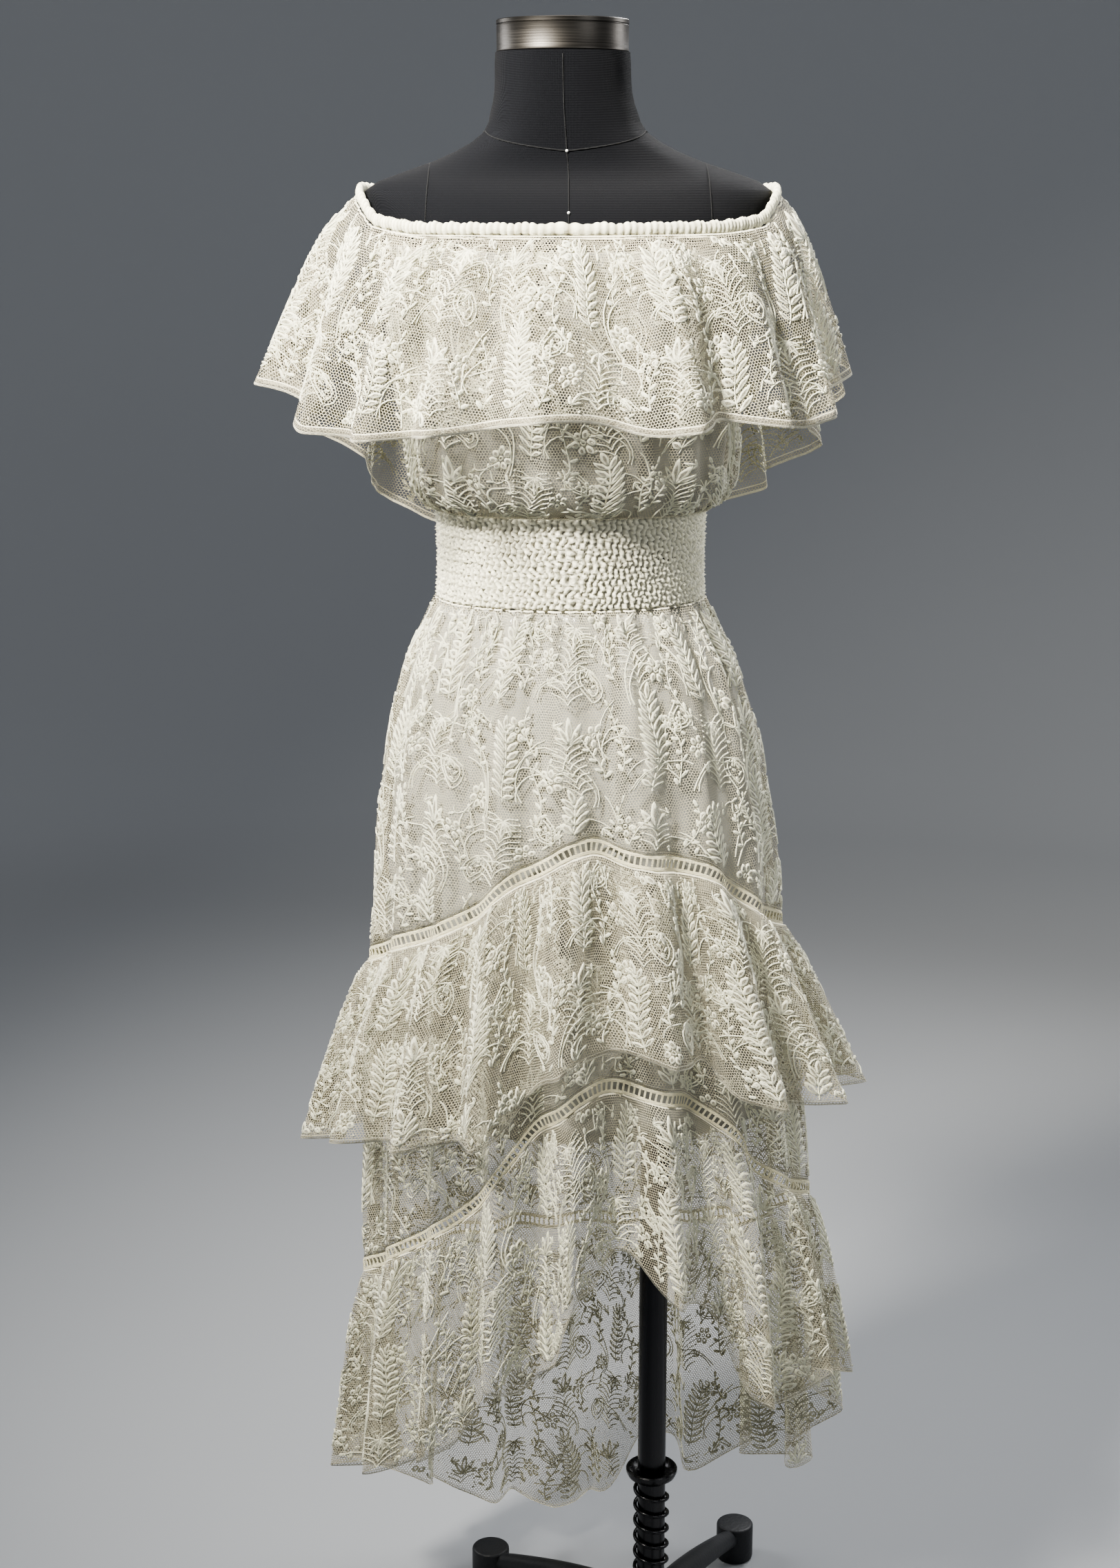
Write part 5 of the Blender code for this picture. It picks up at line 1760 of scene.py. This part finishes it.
def leg_mesh(name, axis, angle, rim, reach):
    """A cast leg that thins outwards, with its round foot."""
    start = rim + 0.0003
    part = np.linspace(0, 1, 28)
    run = start + (reach - start) * part
    level, fall, straight = 0.070, 0.046, 0.12
    drop = level - fall * np.clip((part - straight) / 0.88, 0, 1) ** 1.35
    path = np.stack([axis[0] + run * math.cos(angle), axis[1] + run * math.sin(angle), drop], axis=1)
    thick, thinner = 0.0148, 0.35
    radius = thick * (1.0 - thinner * part)
    bar = tube_mesh(name + "_bar", path, radius, 20)
    foot_radius, foot_high, edge = 0.0205, 0.0420, 0.003
    profile = [(0.0, foot_high)]
    for step in range(5):
        turn = math.radians(90 - 22.5 * step)
        profile.append((foot_radius - edge + edge * math.cos(turn),
                        foot_high - edge + edge * math.sin(turn)))
    profile += [(foot_radius, edge), (foot_radius - 0.0008, 0.0008), (foot_radius - edge, 0.0),
                (0.0, 0.0)]
    place = (axis[0] + reach * math.cos(angle), axis[1] + reach * math.sin(angle), 0.0)
    foot = turned_mesh(name + "_foot", profile, 40, 1.0, place)
    bar_object = bpy.data.objects.new(name, bar)
    foot_object = bpy.data.objects.new(name + "_f", foot)
    for held in (bar_object, foot_object):
        bpy.context.scene.collection.objects.link(held)
    join = bar_object.modifiers.new("foot", "BOOLEAN")
    join.operation = "UNION"
    join.solver = "EXACT"
    join.object = foot_object
    made = applied(bar_object, name)
    bpy.data.objects.remove(foot_object, do_unlink=True)
    made.shade_smooth()
    made.set_sharp_from_angle(angle=math.radians(35))
    return made


def area_light(name, place, aim, size, power, colour=(1.0, 1.0, 1.0), spread=110):
    data = bpy.data.lights.new(name, "AREA")
    data.shape = "RECTANGLE"
    data.size, data.size_y = size
    data.spread = math.radians(spread)
    data.energy = power
    data.color = colour
    obj = bpy.data.objects.new(name, data)
    obj.location = place
    obj.rotation_euler = (Vector(aim) - Vector(place)).to_track_quat("-Z", "Y").to_euler()
    bpy.context.scene.collection.objects.link(obj)


def sweep_mesh(reach, bend, tall, turns=72):
    """A round floor whose edge bends up into a wall. Its glow grows outwards from the object."""
    plain_floor, glow_grows = 1.5, 2.2
    outline = [(0.05, 0.0), (plain_floor, 0.0), (reach - bend, 0.0)]
    for step in range(1, 13):
        angle = math.radians(90 * step / 12)
        outline.append((reach - bend + bend * math.sin(angle), bend - bend * math.cos(angle)))
    outline.append((reach, tall))
    count = len(outline)
    points = [
        (out * math.cos(math.tau * k / turns), out * math.sin(math.tau * k / turns), z)
        for k in range(turns)
        for out, z in outline
    ]
    faces = []
    for k in range(turns):
        here, there = k * count, (k + 1) % turns * count
        faces.extend((here + j, here + j + 1, there + j + 1, there + j) for j in range(count - 1))
    faces.append(tuple(k * count for k in range(turns - 1, -1, -1)))
    mesh = bpy.data.meshes.new("studio_sweep")
    mesh.from_pydata(points, [], faces)
    mesh.materials.append(MATERIALS["studio"])
    away = np.array([math.hypot(x, y) for x, y, _ in points])
    paint(mesh, "glow", np.clip((away - plain_floor) / glow_grows, 0.0, 1.0))
    mesh.shade_smooth()
    return mesh


class DRESS_OT_stage(bpy.types.Operator):
    """Camera, soft lights and a plain round floor that rises into a backdrop on every side"""
    bl_idname = "dress.stage"
    bl_label = "Studio"

    def execute(self, context):
        data = bpy.data.cameras.new("camera")
        data.lens = LENS
        data.sensor_width = 36.0
        data.clip_end = 50.0
        camera = bpy.data.objects.new("camera", data)
        camera.location = (FORM_X, FORM_Y - EYE_DISTANCE, EYE_HEIGHT)
        camera.rotation_euler = (math.radians(90 - EYE_PITCH), 0.0, 0.0)
        context.scene.collection.objects.link(camera)
        context.scene.camera = camera

        sweep = bpy.data.objects.new("studio_sweep", sweep_mesh(5.0, 1.6, 5.0))
        context.scene.collection.objects.link(sweep)

        area_light("key", (-1.05, -1.20, 2.75), (0.0, 0.0, 1.45), (0.36, 0.36), 29.0,
                   (1.0, 0.958, 0.875), 66)
        area_light("fill", (1.6, -2.0, 1.9), (0.0, 0.0, 0.9), (1.0, 1.0), 4.0, (0.98, 0.99, 1.0))
        area_light("overhead", (0.0, 0.3, 3.4), (0.0, 0.1, 0.0), (1.4, 1.0), 8.0)
        area_light("rear", (1.3, 1.9, 2.8), (0.0, 0.0, 1.0), (0.8, 0.8), 26.0)
        area_light("left", (-2.2, 1.0, 2.2), (0.0, 0.0, 0.9), (1.0, 1.0), 12.0)
        area_light("right", (2.4, 0.9, 1.9), (0.0, 0.0, 0.8), (1.0, 1.0), 12.0)
        world = bpy.data.worlds.new("studio_light")
        world.use_nodes = True
        sky = world.node_tree.nodes["Background"]
        sky.inputs["Color"].default_value = (0.92, 0.95, 1.0, 1.0)
        sky.inputs["Strength"].default_value = 0.14
        context.scene.world = world
        context.scene.view_settings.view_transform = "AgX"
        context.scene.view_settings.look = "AgX - Medium High Contrast"
        return {"FINISHED"}


class DRESS_PT_panel(bpy.types.Panel):
    """Dress, form and studio"""
    bl_idname = "DRESS_PT_panel"
    bl_label = "Lace dress"
    bl_space_type = "VIEW_3D"
    bl_region_type = "UI"
    bl_category = "Dress"

    def draw(self, context):
        layout = self.layout
        for group in (context.scene.dress_lace, context.scene.dress_stand):
            for name in group.__annotations__:
                layout.prop(group, name)
        for operator in OPERATORS:
            layout.operator(operator.bl_idname)


OPERATORS = (
    DRESS_OT_stage,
    DRESS_OT_form,
    DRESS_OT_stand,
    DRESS_OT_bodice,
    DRESS_OT_neck,
    DRESS_OT_waistband,
    DRESS_OT_skirt,
    DRESS_OT_trims,
    DRESS_OT_flounces,
)
CLASSES = (LaceSettings, StandSettings, *OPERATORS, DRESS_PT_panel)


def register():
    for cls in CLASSES:
        bpy.utils.register_class(cls)
    bpy.types.Scene.dress_lace = bpy.props.PointerProperty(type=LaceSettings)
    bpy.types.Scene.dress_stand = bpy.props.PointerProperty(type=StandSettings)


def unregister():
    del bpy.types.Scene.dress_stand
    del bpy.types.Scene.dress_lace
    for cls in reversed(CLASSES):
        bpy.utils.unregister_class(cls)


def main():
    register()
    make_materials()
    REPEAT["lace"] = lace_repeat()
    bpy.ops.dress.stage()
    bpy.ops.dress.form()
    bpy.ops.dress.stand()
    bpy.ops.dress.bodice()
    bpy.ops.dress.neck()
    bpy.ops.dress.waistband()
    bpy.ops.dress.skirt()
    bpy.ops.dress.trims()
    bpy.ops.dress.flounces()


if __name__ == "__main__":
    main()
